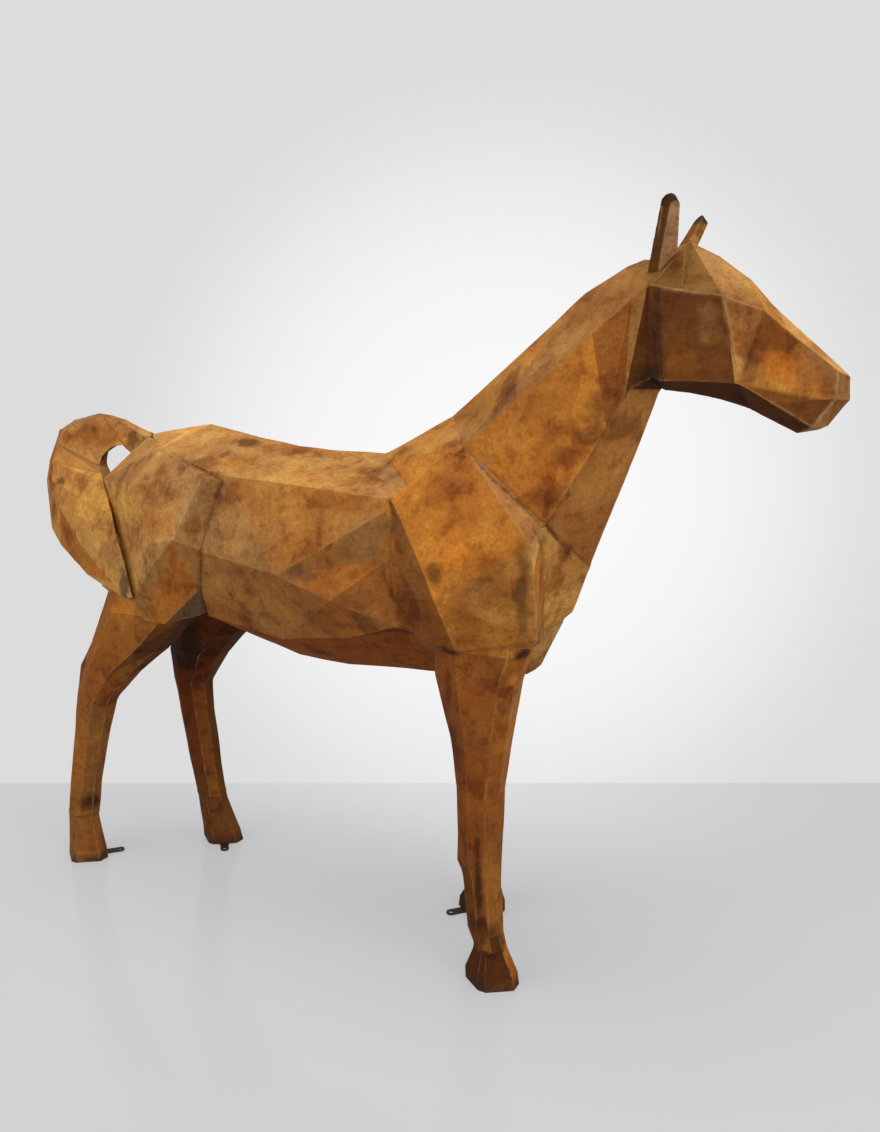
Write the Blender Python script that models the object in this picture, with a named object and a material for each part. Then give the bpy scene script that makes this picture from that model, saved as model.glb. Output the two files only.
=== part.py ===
"""Life-size standing horse sculpture, welded from flat weathering steel plates.

Metres, +Z up.  The horse faces +X, its left side is +Y, it stands on z = 0, and
the origin is on the ground below the middle of the whole sculpture.  The body is
made the way the work is: closed plated masses (barrel, haunches, shoulders,
breast, neck, head, legs) that run into each other and are welded into one shell.
A corner of a plate is given as (x, w, z), where w is the distance from the
horse's middle plane, so one table serves its right and its left side.
"""

import math

import bmesh
import bpy
from mathutils import Matrix, Vector

SCULPTURE = "weathering_steel_horse"
GAP = 0.0003                 # clearance between pieces that touch
WELD_GAP = 0.0006            # how far a cutter is grown, so that every face keeps at least GAP
RIGHT, LEFT = -1, 1

# ---------------------------------------------------------------- barrel
# Each station runs from the spine down one side to the keel:
# spine, chine, upper flank, flank, belly edge, under edge, keel.
BARREL = {
    "rump": ((-0.875, 0.0, 1.490), (-0.675, 0.160, 1.450), (-0.700, 0.150, 1.300),
             (-0.700, 0.150, 1.200), (-0.700, 0.140, 1.060), (-0.690, 0.110, 0.990),
             (-0.670, 0.060, 0.965)),
    "croup": ((-0.615, 0.0, 1.524), (-0.545, 0.178, 1.412), (-0.520, 0.190, 1.300),
              (-0.520, 0.195, 1.180), (-0.530, 0.185, 1.060), (-0.545, 0.150, 0.975),
              (-0.560, 0.090, 0.950)),
    "loin": ((-0.458, 0.0, 1.495), (-0.392, 0.200, 1.381), (-0.430, 0.222, 1.262),
             (-0.463, 0.236, 1.152), (-0.470, 0.230, 1.120), (-0.492, 0.212, 1.030),
             (-0.523, 0.150, 0.933)),
    "mid back": ((-0.266, 0.0, 1.462), (-0.115, 0.210, 1.363), (-0.147, 0.285, 1.118),
                 (-0.147, 0.285, 1.117), (-0.147, 0.285, 1.116), (-0.213, 0.180, 0.903),
                 (-0.235, 0.070, 0.828)),
    "ribs": ((-0.156, 0.0, 1.452), (0.061, 0.200, 1.347), (0.015, 0.243, 1.217),
             (0.023, 0.240, 1.152), (0.023, 0.275, 1.060), (0.030, 0.190, 0.940),
             (-0.051, 0.070, 0.818)),
    "girth": ((0.053, 0.0, 1.449), (0.163, 0.190, 1.338), (0.156, 0.203, 1.303),
              (0.164, 0.200, 1.173), (0.206, 0.226, 0.995), (0.194, 0.190, 0.979),
              (0.235, 0.070, 0.838)),
    "brisket": ((0.200, 0.0, 1.420), (0.400, 0.120, 1.300), (0.400, 0.130, 1.250),
                (0.420, 0.150, 1.150), (0.420, 0.150, 1.000), (0.420, 0.120, 0.930),
                (0.470, 0.070, 0.846)),
}

# ---------------------------------------------------------------- haunch and shoulder
HAUNCH = (
    (-0.860, 0.030, 1.482),      # beside the dock
    (-0.675, 0.162, 1.452),      # point of the hip
    (-0.444, 0.239, 1.380),      # front of the hip crest
    (-0.400, 0.201, 1.362),      # flank weld, top
    (-0.463, 0.228, 1.152),      # flank weld, middle
    (-0.532, 0.285, 1.191),      # front of the thigh
    (-0.630, 0.287, 1.169),      # thigh, widest
    (-0.632, 0.281, 1.091),
    (-0.752, 0.226, 1.340),      # behind the hip
    (-0.884, 0.090, 1.429),      # rump, top
    (-0.928, 0.170, 1.348),      # rump corner
    (-0.950, 0.160, 1.180),      # point of the buttock
    (-0.934, 0.195, 1.000),      # buttock, bottom
    (-0.716, 0.270, 0.988),      # stifle plate, rear
    (-0.684, 0.258, 0.926),
    (-0.621, 0.240, 0.916),
    (-0.528, 0.180, 0.942),      # stifle plate, front
    (-0.495, 0.216, 1.032),
    (-0.472, 0.228, 1.128),
    (-0.900, -0.010, 1.400),     # inner plates, just across the middle plane
    (-0.920, -0.010, 1.120),
    (-0.830, -0.010, 1.000),
    (-0.560, -0.010, 0.960),
    (-0.450, -0.010, 1.250),
)
SHOULDER = (
    (0.163, 0.188, 1.338),       # withers end of the weld to the barrel
    (0.210, 0.175, 1.363),
    (0.272, 0.160, 1.425),
    (0.324, 0.145, 1.468),       # top of the shoulder
    (0.382, 0.155, 1.460),
    (0.466, 0.200, 1.384),       # ridge beside the neck
    (0.536, 0.230, 1.312),
    (0.601, 0.250, 1.250),       # point of the shoulder
    (0.395, 0.125, 1.446),       # weld to the neck
    (0.512, 0.150, 1.374),
    (0.600, 0.165, 1.292),
    (0.610, 0.250, 1.178),
    (0.614, 0.240, 1.064),
    (0.613, 0.235, 1.012),
    (0.593, 0.225, 0.986),       # weld to the foreleg, front
    (0.184, 0.200, 1.324),
    (0.300, 0.265, 1.180),       # back edge of the shoulder
    (0.340, 0.270, 1.093),
    (0.377, 0.245, 0.986),
    (0.386, 0.235, 0.952),       # weld to the foreleg, back
    (0.164, 0.196, 1.176),       # girth groove
    (0.185, 0.214, 1.072),
    (0.235, 0.200, 0.968),
    (0.275, 0.180, 0.934),
    (0.220, 0.030, 1.300),       # inner plates
    (0.560, 0.030, 1.200),
    (0.330, 0.060, 0.960),
    (0.560, 0.060, 0.960),
)
BREAST_KEEL = ((0.600, 1.230), (0.667, 1.162), (0.659, 1.139), (0.636, 1.072), (0.622, 1.038),
               (0.560, 0.980), (0.400, 0.960))
BREAST = (
    (0.610, 0.215, 1.288),       # top of the breast plate
    (0.622, 0.038, 1.077),       # fold down the front of the breast
    (0.598, 0.046, 1.030),
    (0.590, 0.200, 1.245),       # edge that runs under the shoulder
    (0.578, 0.200, 1.180),
    (0.546, 0.165, 1.045),
    (0.522, 0.140, 0.965),
    (0.400, 0.100, 1.250),
)
BRISKET_KEEL = ((0.560, 1.060), (0.588, 0.994), (0.562, 0.938), (0.534, 0.880), (0.518, 0.864),
                (0.492, 0.846), (0.350, 0.850))
BRISKET = (
    (0.576, 0.044, 0.991),       # fold, carried on down
    (0.555, 0.042, 0.956),
    (0.518, 0.042, 0.880),
    (0.546, 0.150, 1.030),       # edge that runs under the foreleg
    (0.520, 0.140, 0.960),
    (0.420, 0.100, 0.870),
    (0.400, 0.100, 1.100),
)

# ---------------------------------------------------------------- neck
# Four edges on each side: crest, ridge, front edge, throat.  The ridge, the front
# edge and the throat run straight from the base of the neck to the jaw.
NECK_ROOT = ((-0.010, 0.0, 1.425), (0.160, 0.130, 1.330), (0.430, 0.130, 1.180), (0.560, 0.0, 1.080))
NECK_BASE = ((0.258, 0.0, 1.556), (0.357, 0.140, 1.476), (0.607, 0.175, 1.293), (0.667, 0.0, 1.162))
NECK_TOP = ((0.785, 0.0, 1.938), (0.822, 0.090, 1.870), (0.790, 0.093, 1.628), (0.836, 0.0, 1.627))
NECK_END = ((0.870, 0.0, 1.930), (0.890, 0.050, 1.850), (0.880, 0.050, 1.680), (0.880, 0.0, 1.650))
CREST_BENDS = ((0.72, (0.634, 1.865)), (0.92, (0.741, 1.924)))   # share of the way up, (x, z)

# ---------------------------------------------------------------- head
# Each station runs from the middle of the forehead down one side:
# middle, brow edge, side, jaw edge, middle of the underside.
HEAD = {
    "inside the neck": ((0.760, 0.0, 1.900), (0.760, 0.055, 1.840), (0.770, 0.055, 1.740),
                        (0.780, 0.050, 1.680), (0.790, 0.0, 1.670)),
    "cheek, rear": ((0.835, 0.0, 1.950), (0.828, 0.095, 1.866), (0.845, 0.096, 1.755),
                    (0.861, 0.095, 1.645), (0.850, 0.0, 1.624)),
    "forelock": ((0.897, 0.0, 1.972), (0.905, 0.100, 1.850), (0.920, 0.096, 1.750),
                 (0.935, 0.093, 1.643), (0.910, 0.0, 1.617)),
    "cheek, front": ((0.967, 0.0, 1.934), (1.000, 0.105, 1.833), (1.020, 0.096, 1.725),
                     (1.034, 0.090, 1.638), (0.971, 0.0, 1.605)),
    "brow": ((1.040, 0.0, 1.878), (1.090, 0.080, 1.798), (1.046, 0.088, 1.639),
             (1.045, 0.088, 1.636), (1.055, 0.0, 1.581)),
    "nose": ((1.101, 0.0, 1.807), (1.140, 0.069, 1.753), (1.127, 0.072, 1.621),
             (1.114, 0.072, 1.594), (1.125, 0.0, 1.542)),
    "nostrils": ((1.250, 0.0, 1.673), (1.249, 0.050, 1.664), (1.249, 0.055, 1.602),
                 (1.202, 0.050, 1.539), (1.164, 0.0, 1.522)),
    "lips": ((1.265, 0.0, 1.658), (1.270, 0.022, 1.652), (1.272, 0.024, 1.600),
             (1.228, 0.028, 1.540), (1.210, 0.0, 1.531)),
}

POLL_RIDGE = ((0.838, 1.955), (0.897, 1.972), (0.860, 1.900))
POLL = (
    (0.899, 0.057, 1.957),       # plates that climb beside the ears
    (0.842, 0.078, 1.888),
    (0.830, 0.093, 1.866),
    (0.905, 0.099, 1.850),
)

# ---------------------------------------------------------------- legs
# Height, back, front (x, as the leg would stand square), half width, distance from
# the middle plane, and how much of the depth the back and front corners cut off.
FORE_LEG = (
    (1.060, 0.350, 0.570, 0.070, 0.150, 0.30, 0.12),
    (0.953, 0.300, 0.560, 0.084, 0.150, 0.33, 0.10),
    (0.870, 0.292, 0.526, 0.080, 0.152, 0.38, 0.12),
    (0.700, 0.317, 0.483, 0.068, 0.155, 0.38, 0.16),
    (0.560, 0.324, 0.450, 0.056, 0.160, 0.38, 0.18),
    (0.420, 0.317, 0.431, 0.052, 0.163, 0.38, 0.18),
    (0.345, 0.306, 0.422, 0.048, 0.164, 0.40, 0.18),
    (0.310, 0.318, 0.420, 0.042, 0.165, 0.40, 0.18),
    (0.150, 0.318, 0.412, 0.038, 0.166, 0.42, 0.20),
    (0.108, 0.333, 0.418, 0.038, 0.167, 0.32, 0.24),
)
HIND_LEG = (
    (1.020, -0.900, -0.560, 0.090, 0.145, 0.25, 0.20),
    (0.930, -0.925, -0.580, 0.094, 0.148, 0.27, 0.10),
    (0.800, -0.970, -0.690, 0.084, 0.152, 0.30, 0.16),
    (0.710, -1.020, -0.790, 0.070, 0.156, 0.34, 0.24),
    (0.600, -1.030, -0.884, 0.058, 0.160, 0.30, 0.24),
    (0.490, -1.033, -0.904, 0.050, 0.162, 0.28, 0.24),
    (0.280, -1.042, -0.926, 0.044, 0.165, 0.26, 0.24),
    (0.170, -1.040, -0.930, 0.044, 0.166, 0.26, 0.24),
)
# How far forward each leg is set at the pivot and at the hoof, and how far its
# pastern is bowed forward of the line between them.
FORE_SET = {RIGHT: (0.0, 0.100, 0.0), LEFT: (-0.150, -0.094, 0.026)}
HIND_SET = {RIGHT: (0.0, -0.165, 0.0), LEFT: (0.0, 0.165, 0.018)}
FORE_PIVOT, HIND_PIVOT = 0.95, 1.05          # heights that a stride swings a leg about
BOW_HEIGHT, BOW_TOP = 0.17, 0.57
SHOULDER_TOP = 1.46
SHOULDER_SET = {RIGHT: 0.0, LEFT: -0.235}    # set forward, per metre below the shoulder's top

# Hooves: height, back, front, then half widths of heel, quarter and toe.
FORE_HOOF = ((0.100, 0.334, 0.419, 0.018, 0.040, 0.016),
             (0.035, 0.301, 0.444, 0.022, 0.058, 0.018),
             (0.000, 0.300, 0.446, 0.022, 0.062, 0.018))
HIND_HOOF = ((0.165, -1.039, -0.931, 0.018, 0.044, 0.016),
             (0.040, -1.024, -0.882, 0.022, 0.062, 0.018),
             (0.000, -1.022, -0.872, 0.022, 0.066, 0.018))
HOOF_SPREAD = 0.168                          # hoof centres from the middle plane
HEEL_CUT, TOE_CUT = 0.40, 0.44               # lengths of the angled heel and toe plates

# ---------------------------------------------------------------- tail
# Each station: inner edge, ridge on the right, outer edge, inner edge on the left,
# as (x, y, z).
TAIL = (
    ((-0.860, -0.055, 1.405), (-0.860, -0.035, 1.475), (-0.860, 0.000, 1.492), (-0.860, 0.050, 1.405)),
    ((-0.925, -0.045, 1.424), (-0.985, -0.030, 1.530), (-0.985, 0.000, 1.536), (-0.940, 0.030, 1.424)),
    ((-0.963, -0.048, 1.452), (-1.050, -0.034, 1.539), (-1.052, 0.000, 1.549), (-1.000, 0.020, 1.448)),
    ((-1.000, -0.062, 1.445), (-1.104, -0.042, 1.543), (-1.112, 0.000, 1.555), (-1.045, 0.008, 1.446)),
    ((-1.013, -0.090, 1.416), (-1.180, -0.062, 1.521), (-1.222, -0.010, 1.531), (-1.066, -0.014, 1.426)),
    ((-1.005, -0.112, 1.385), (-1.224, -0.095, 1.452), (-1.277, -0.030, 1.496), (-1.050, -0.040, 1.390)),
    ((-0.968, -0.140, 1.362), (-1.218, -0.118, 1.392), (-1.303, -0.060, 1.392), (-1.000, -0.070, 1.360)),
    ((-0.926, -0.172, 1.340), (-1.203, -0.140, 1.332), (-1.302, -0.080, 1.322), (-0.970, -0.090, 1.335)),
    ((-0.830, -0.232, 1.240), (-1.138, -0.170, 1.243), (-1.262, -0.105, 1.160), (-0.900, -0.130, 1.240)),
    ((-0.800, -0.250, 1.190), (-1.072, -0.190, 1.192), (-1.168, -0.150, 1.112), (-0.870, -0.150, 1.190)),
    ((-0.770, -0.265, 1.150), (-1.007, -0.210, 1.138), (-1.074, -0.180, 1.071), (-0.850, -0.160, 1.140)),
    ((-0.735, -0.280, 1.090), (-0.908, -0.238, 1.080), (-0.984, -0.210, 1.038), (-0.820, -0.180, 1.080)),
    ((-0.723, -0.282, 1.040), (-0.808, -0.265, 1.032), (-0.868, -0.242, 1.012), (-0.780, -0.215, 1.030)),
    ((-0.705, -0.286, 1.000), (-0.722, -0.284, 0.998), (-0.735, -0.277, 0.990), (-0.735, -0.240, 0.998)),
)

# ---------------------------------------------------------------- ears and tabs
EAR_ROOT = Vector((0.855, 0.064, 1.905))     # middle of the ear where it meets the poll
EAR_TIP = Vector((0.894, 0.163, 2.047))
EAR_FACE = Vector((0.62, 0.78, 0.0))         # the broad face looks forward and outward
EAR_BASE_WIDTH, EAR_TIP_WIDTH = 0.066, 0.039
EAR_THICKNESS = 0.022
EAR_FLARE = 0.012                             # the root is this much thicker than the tip
EAR_BEVEL = 0.011                             # the broad face is this much narrower on the outer side
EAR_SUNK = 0.050                             # length that reaches into the head before it is cut

TAB_WIDTH, TAB_THICKNESS, TAB_HOLE = 0.030, 0.006, 0.014
TAB_REACH = 0.105                            # hoof centre to the middle of the hole
TAB_HEADING = 48.0                           # degrees from the horse's length, towards its middle
CENTRING = 0.0155                            # moves the middle of the whole length over the origin


def steel(name, color, roughness, metallic):
    """One Principled material for one kind of piece."""
    material = bpy.data.materials.new(name)
    material.use_nodes = True
    shader = material.node_tree.nodes["Principled BSDF"]
    shader.inputs["Base Color"].default_value = (*color, 1.0)
    shader.inputs["Roughness"].default_value = roughness
    shader.inputs["Metallic"].default_value = metallic
    material.diffuse_color = (*color, 1.0)
    return material


def collection(name):
    """A new collection in the scene."""
    made = bpy.data.collections.new(name)
    bpy.context.scene.collection.children.link(made)
    return made


def object_from(name, mesh_builder, group):
    """Turn a finished bmesh into an object of the given collection."""
    mesh = bpy.data.meshes.new(name)
    mesh_builder.to_mesh(mesh)
    mesh_builder.free()
    made = bpy.data.objects.new(name, mesh)
    group.objects.link(made)
    return made


def as_guide(obj):
    """Show an object as a wire guide only."""
    obj.display_type = "WIRE"
    obj.hide_render = True
    return obj


def on_side(corner, side):
    """A table corner (x, w, z) as a point on the right or left side."""
    x, w, z = corner
    return Vector((x, side * w, z))


def hull_mass(name, corners, group):
    """The plates that wrap a set of corners: their convex hull."""
    builder = bmesh.new()
    for corner in corners:
        builder.verts.new(corner)
    wrapped = bmesh.ops.convex_hull(builder, input=builder.verts[:])
    loose = {item for item in wrapped["geom_interior"] + wrapped["geom_unused"]
             if isinstance(item, bmesh.types.BMVert)}
    bmesh.ops.delete(builder, geom=list(loose), context="VERTS")
    bmesh.ops.recalc_face_normals(builder, faces=builder.faces[:])
    return as_guide(object_from(name, builder, group))


def ring_from_side(half):
    """Close a run of corners, top to bottom, over the middle plane into a ring."""
    right = [on_side(corner, RIGHT) for corner in half]
    left = [on_side(corner, LEFT) for corner in reversed(half) if corner[1] > 0.0]
    return right + left


def loft_mass(name, rings, group):
    """Join rings of equally many corners with pairs of triangles that fold outward."""
    builder = bmesh.new()
    rows = [[builder.verts.new(point) for point in ring] for ring in rings]
    middle = sum((v.co for row in rows for v in row), Vector()) / sum(len(row) for row in rows)
    count = len(rows[0])
    for row, following in zip(rows, rows[1:]):
        for i in range(count):
            j = (i + 1) % count
            a, b, c, d = row[i], row[j], following[j], following[i]
            plane = (b.co - a.co).cross(c.co - a.co)
            outward = math.copysign(1.0, plane.dot(a.co - middle))
            folds_out = outward * plane.dot(d.co - a.co) <= 0.0
            pairs = ((a, b, c), (a, c, d)) if folds_out else ((a, b, d), (b, c, d))
            for triangle in pairs:
                builder.faces.new(triangle)
    builder.faces.new(rows[0])
    builder.faces.new(rows[-1])
    bmesh.ops.remove_doubles(builder, verts=builder.verts[:], dist=0.002)
    bmesh.ops.triangulate(builder, faces=[f for f in builder.faces if len(f.verts) > 3])
    bmesh.ops.recalc_face_normals(builder, faces=builder.faces[:])
    return as_guide(object_from(name, builder, group))


def between(start, end, share):
    """The corners a given share of the way from one section to another."""
    return tuple(tuple(a + (b - a) * share for a, b in zip(p, q)) for p, q in zip(start, end))


def neck_rings():
    """Sections of the neck from inside the withers to inside the head."""
    sections = [NECK_ROOT, NECK_BASE]
    for share, (x, z) in CREST_BENDS:
        section = between(NECK_BASE, NECK_TOP, share)
        sections.append(((x, 0.0, z),) + section[1:])
    sections += [NECK_TOP, NECK_END]
    return [ring_from_side(section) for section in sections]


def swing_at(height, leg_set, pivot):
    """How far forward of its square stance a leg is at one height."""
    at_pivot, at_hoof, bow = leg_set
    reach = BOW_HEIGHT if height < BOW_HEIGHT else BOW_TOP - BOW_HEIGHT
    bowed = bow * max(0.0, 1.0 - abs(height - BOW_HEIGHT) / reach)
    return at_hoof + (at_pivot - at_hoof) * height / pivot + bowed


def leg_ring(row, side, leg_set, pivot):
    """Eight corners of a leg plate tube at one height."""
    height, back, front, half, spread, back_cut, front_cut = row
    swing = swing_at(height, leg_set, pivot)
    depth = front - back
    blunt = 0.38 * half
    outline = ((back, blunt), (back + back_cut * depth, half),
               (front - front_cut * depth, half), (front, blunt),
               (front, -blunt), (front - front_cut * depth, -half),
               (back + back_cut * depth, -half), (back, -blunt))
    return [Vector((x + swing, side * (spread + w), height)) for x, w in outline]


def hoof_ring(row, side, leg_set, pivot):
    """Eight corners of a hoof at one height: heel, quarters and a narrow toe."""
    height, back, front, heel, quarter, toe = row
    swing = swing_at(height, leg_set, pivot)
    depth = front - back
    outline = ((back, heel), (back + HEEL_CUT * depth, quarter),
               (front - TOE_CUT * depth, quarter), (front, toe),
               (front, -toe), (front - TOE_CUT * depth, -quarter),
               (back + HEEL_CUT * depth, -quarter), (back, -heel))
    return [Vector((x + swing, side * (HOOF_SPREAD + w), height)) for x, w in outline]


def leg_mass(name, leg, hoof, side, leg_set, pivot, group):
    """A leg and its hoof as one plated tube, swung forward or back by its stride."""
    rings = [leg_ring(row, side, leg_set, pivot) for row in leg]
    rings += [hoof_ring(row, side, leg_set, pivot) for row in hoof]
    return loft_mass(name, rings, group)


def shoulder_corner(corner, side):
    """A corner of the shoulder, set back with the foreleg below it."""
    x, w, z = corner
    return Vector((x + SHOULDER_SET[side] * max(0.0, SHOULDER_TOP - z), side * w, z))


def body_masses(group):
    """Every plated mass of the horse."""
    masses = [
        loft_mass("barrel", [ring_from_side(half) for half in BARREL.values()], group),
        loft_mass("neck", neck_rings(), group),
        loft_mass("head", [ring_from_side(half) for half in HEAD.values()], group),
    ]
    for name, line, corners in (("breast", BREAST_KEEL, BREAST), ("brisket", BRISKET_KEEL, BRISKET),
                                ("poll", POLL_RIDGE, POLL)):
        middle = [Vector((x, 0.0, z)) for x, z in line]
        plates = [on_side(corner, side) for corner in corners for side in (RIGHT, LEFT)]
        masses.append(hull_mass(name, middle + plates, group))
    for side, word in ((RIGHT, "right"), (LEFT, "left")):
        masses.append(hull_mass(f"{word}_haunch", [on_side(c, side) for c in HAUNCH], group))
        masses.append(hull_mass(f"{word}_shoulder", [shoulder_corner(c, side) for c in SHOULDER],
                                group))
        masses.append(leg_mass(f"{word}_fore_leg", FORE_LEG, FORE_HOOF, side,
                               FORE_SET[side], FORE_PIVOT, group))
        masses.append(leg_mass(f"{word}_hind_leg", HIND_LEG, HIND_HOOF, side,
                               HIND_SET[side], HIND_PIVOT, group))
    return masses


def evaluated_copy(name, source, group):
    """A plain mesh copy of an object as its modifiers leave it."""
    depsgraph = bpy.context.evaluated_depsgraph_get()
    mesh = bpy.data.meshes.new_from_object(source.evaluated_get(depsgraph))
    made = bpy.data.objects.new(name, mesh)
    made.matrix_world = source.matrix_world
    group.objects.link(made)
    return made


def welded_body(masses, group, material):
    """Weld the masses into one closed shell."""
    seed = bpy.data.objects.new("weld_seed", masses[0].data.copy())
    group.objects.link(seed)
    for mass in masses[1:]:
        union = seed.modifiers.new(mass.name, "BOOLEAN")
        union.operation = "UNION"
        union.solver = "EXACT"
        union.object = mass
    bpy.context.view_layer.update()
    body = evaluated_copy("horse", seed, group)
    bpy.data.objects.remove(seed)
    builder = bmesh.new()
    builder.from_mesh(body.data)
    bmesh.ops.remove_doubles(builder, verts=builder.verts[:], dist=0.0005)
    bmesh.ops.dissolve_degenerate(builder, edges=builder.edges[:], dist=0.0005)
    bmesh.ops.triangulate(builder, faces=[f for f in builder.faces if len(f.verts) > 3])
    builder.to_mesh(body.data)
    builder.free()
    body.data.materials.clear()
    body.data.materials.append(material)
    return body


def grown_copy(body, guides):
    """The body grown by the weld gap, as a cutter for what is welded onto it."""
    cutter = evaluated_copy("body_clearance", body, guides)
    for vertex, normal in [(v, v.normal.copy()) for v in cutter.data.vertices]:
        vertex.co += normal * WELD_GAP
    return as_guide(cutter)


def cut_to_body(piece, cutter):
    """Trim a piece where it would run into the body."""
    trim = piece.modifiers.new("weld_trim", "BOOLEAN")
    trim.operation = "DIFFERENCE"
    trim.solver = "EXACT"
    trim.object = cutter


def tail(cutter, group, material):
    """The arched tail, its tip trimmed to the right buttock."""
    made = loft_mass("tail", [[Vector(corner) for corner in ring] for ring in TAIL], group)
    made.display_type = "TEXTURED"
    made.hide_render = False
    made.data.materials.append(material)
    cut_to_body(made, cutter)
    return made


def flat_plate(name, outline, thickness, group, top_outline=None):
    """A plate of an outline in its own x-y plane, from z = 0 up. Its top can be smaller."""
    builder = bmesh.new()
    below = [builder.verts.new((x, y, 0.0)) for x, y in outline]
    above = [builder.verts.new((x, y, thickness)) for x, y in top_outline or outline]
    builder.faces.new(below)
    builder.faces.new(above)
    for i in range(len(below)):
        builder.faces.new((below[i - 1], below[i], above[i], above[i - 1]))
    bmesh.ops.recalc_face_normals(builder, faces=builder.faces[:])
    return object_from(name, builder, group)


def round_ended(length, base_width, end_width, steps=10):
    """Outline of a strip along +Y with a half-round far end."""
    radius = end_width / 2.0
    arc = [(radius * math.cos(math.pi * i / steps), length - radius + radius * math.sin(math.pi * i / steps))
           for i in range(steps + 1)]
    return [(-base_width / 2.0, 0.0), (base_width / 2.0, 0.0)] + arc


def ear(side, cutter, group, material):
    """One ear: a thick round-topped plate, bevelled on its outer edge and trimmed to the poll."""
    word = "right" if side == RIGHT else "left"
    mirrored = Vector((1.0, side, 1.0))
    rise = (EAR_TIP - EAR_ROOT) * mirrored
    up = rise.normalized()
    facing = EAR_FACE * mirrored
    facing = (facing - up * facing.dot(up)).normalized()
    across = up.cross(facing)
    length = rise.length + EAR_SUNK
    outline = round_ended(length, EAR_BASE_WIDTH, EAR_TIP_WIDTH)
    inward = -side * EAR_BEVEL / 2.0
    face = [(x + inward, y) for x, y in
            round_ended(length - EAR_BEVEL, EAR_BASE_WIDTH - EAR_BEVEL, EAR_TIP_WIDTH - EAR_BEVEL)]
    made = flat_plate(f"{word}_ear", outline, EAR_THICKNESS, group, face)
    for vertex in made.data.vertices:
        if vertex.co.z < EAR_THICKNESS / 2.0:
            vertex.co.z -= EAR_FLARE * (1.0 - vertex.co.y / length)
    turn = Matrix((across, up, facing)).transposed()
    start = EAR_ROOT * mirrored - up * EAR_SUNK - facing * EAR_THICKNESS
    made.matrix_world = Matrix.Translation(start) @ turn.to_4x4()
    made.data.materials.append(material)
    cut_to_body(made, cutter)
    return made


def anchor_tab(name, hoof_x, side, towards, cutter, group, guides, material):
    """A drilled tab on the ground at one hoof, headed for the middle of the stance."""
    outline = round_ended(TAB_REACH + TAB_WIDTH / 2.0, TAB_WIDTH, TAB_WIDTH)
    made = flat_plate(name, outline, TAB_THICKNESS, group)
    heading = math.radians(TAB_HEADING)
    direction = Vector((towards * math.cos(heading), -side * math.sin(heading), 0.0))
    turn = math.atan2(direction.y, direction.x) - math.pi / 2.0
    place = Matrix.Translation((hoof_x, side * HOOF_SPREAD, 0.0)) @ Matrix.Rotation(turn, 4, "Z")
    made.matrix_world = place
    made.data.materials.append(material)
    builder = bmesh.new()
    bmesh.ops.create_cone(builder, cap_ends=True, segments=16, radius1=TAB_HOLE / 2.0,
                          radius2=TAB_HOLE / 2.0, depth=TAB_THICKNESS * 4.0)
    drill = as_guide(object_from(f"{name}_drill", builder, guides))
    drill.matrix_world = place @ Matrix.Translation((0.0, TAB_REACH, 0.0))
    hole = made.modifiers.new("hole", "BOOLEAN")
    hole.operation = "DIFFERENCE"
    hole.solver = "EXACT"
    hole.object = drill
    cut_to_body(made, cutter)
    return made


def hoof_middle(hoof, leg_set):
    """x of the middle of a hoof's sole."""
    sole = hoof[-1]
    return (sole[1] + sole[2]) / 2.0 + leg_set[1]


def main():
    for obj in list(bpy.data.objects):
        bpy.data.objects.remove(obj)
    parts = collection(SCULPTURE)
    guides = collection("guides")

    rust = steel("weathering_steel", (0.42, 0.17, 0.045), 0.72, 0.15)
    dark = steel("anchor_steel", (0.035, 0.028, 0.025), 0.6, 0.4)

    body = welded_body(body_masses(guides), parts, rust)
    cutter = grown_copy(body, guides)
    tail(cutter, parts, rust)
    for side in (RIGHT, LEFT):
        ear(side, cutter, parts, rust)
    for side, word in ((RIGHT, "right"), (LEFT, "left")):
        anchor_tab(f"anchor_tab_{word}_fore", hoof_middle(FORE_HOOF, FORE_SET[side]), side,
                   -1, cutter, parts, guides, dark)
        anchor_tab(f"anchor_tab_{word}_hind", hoof_middle(HIND_HOOF, HIND_SET[side]), side,
                   1, cutter, parts, guides, dark)
    for obj in list(parts.objects) + list(guides.objects):
        obj.matrix_world = Matrix.Translation((CENTRING, 0.0, 0.0)) @ obj.matrix_world


main()
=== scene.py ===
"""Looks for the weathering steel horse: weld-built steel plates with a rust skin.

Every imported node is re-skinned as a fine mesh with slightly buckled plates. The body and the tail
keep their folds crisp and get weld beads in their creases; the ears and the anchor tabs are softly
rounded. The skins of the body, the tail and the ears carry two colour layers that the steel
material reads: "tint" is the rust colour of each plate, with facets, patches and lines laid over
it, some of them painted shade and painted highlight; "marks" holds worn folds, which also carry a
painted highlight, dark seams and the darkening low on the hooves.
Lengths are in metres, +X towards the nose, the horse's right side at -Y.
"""

import math

import bmesh
import bpy
import numpy as np
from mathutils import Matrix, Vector
from mathutils.bvhtree import BVHTree
from mathutils.geometry import delaunay_2d_cdt
from mathutils.kdtree import KDTree


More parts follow.
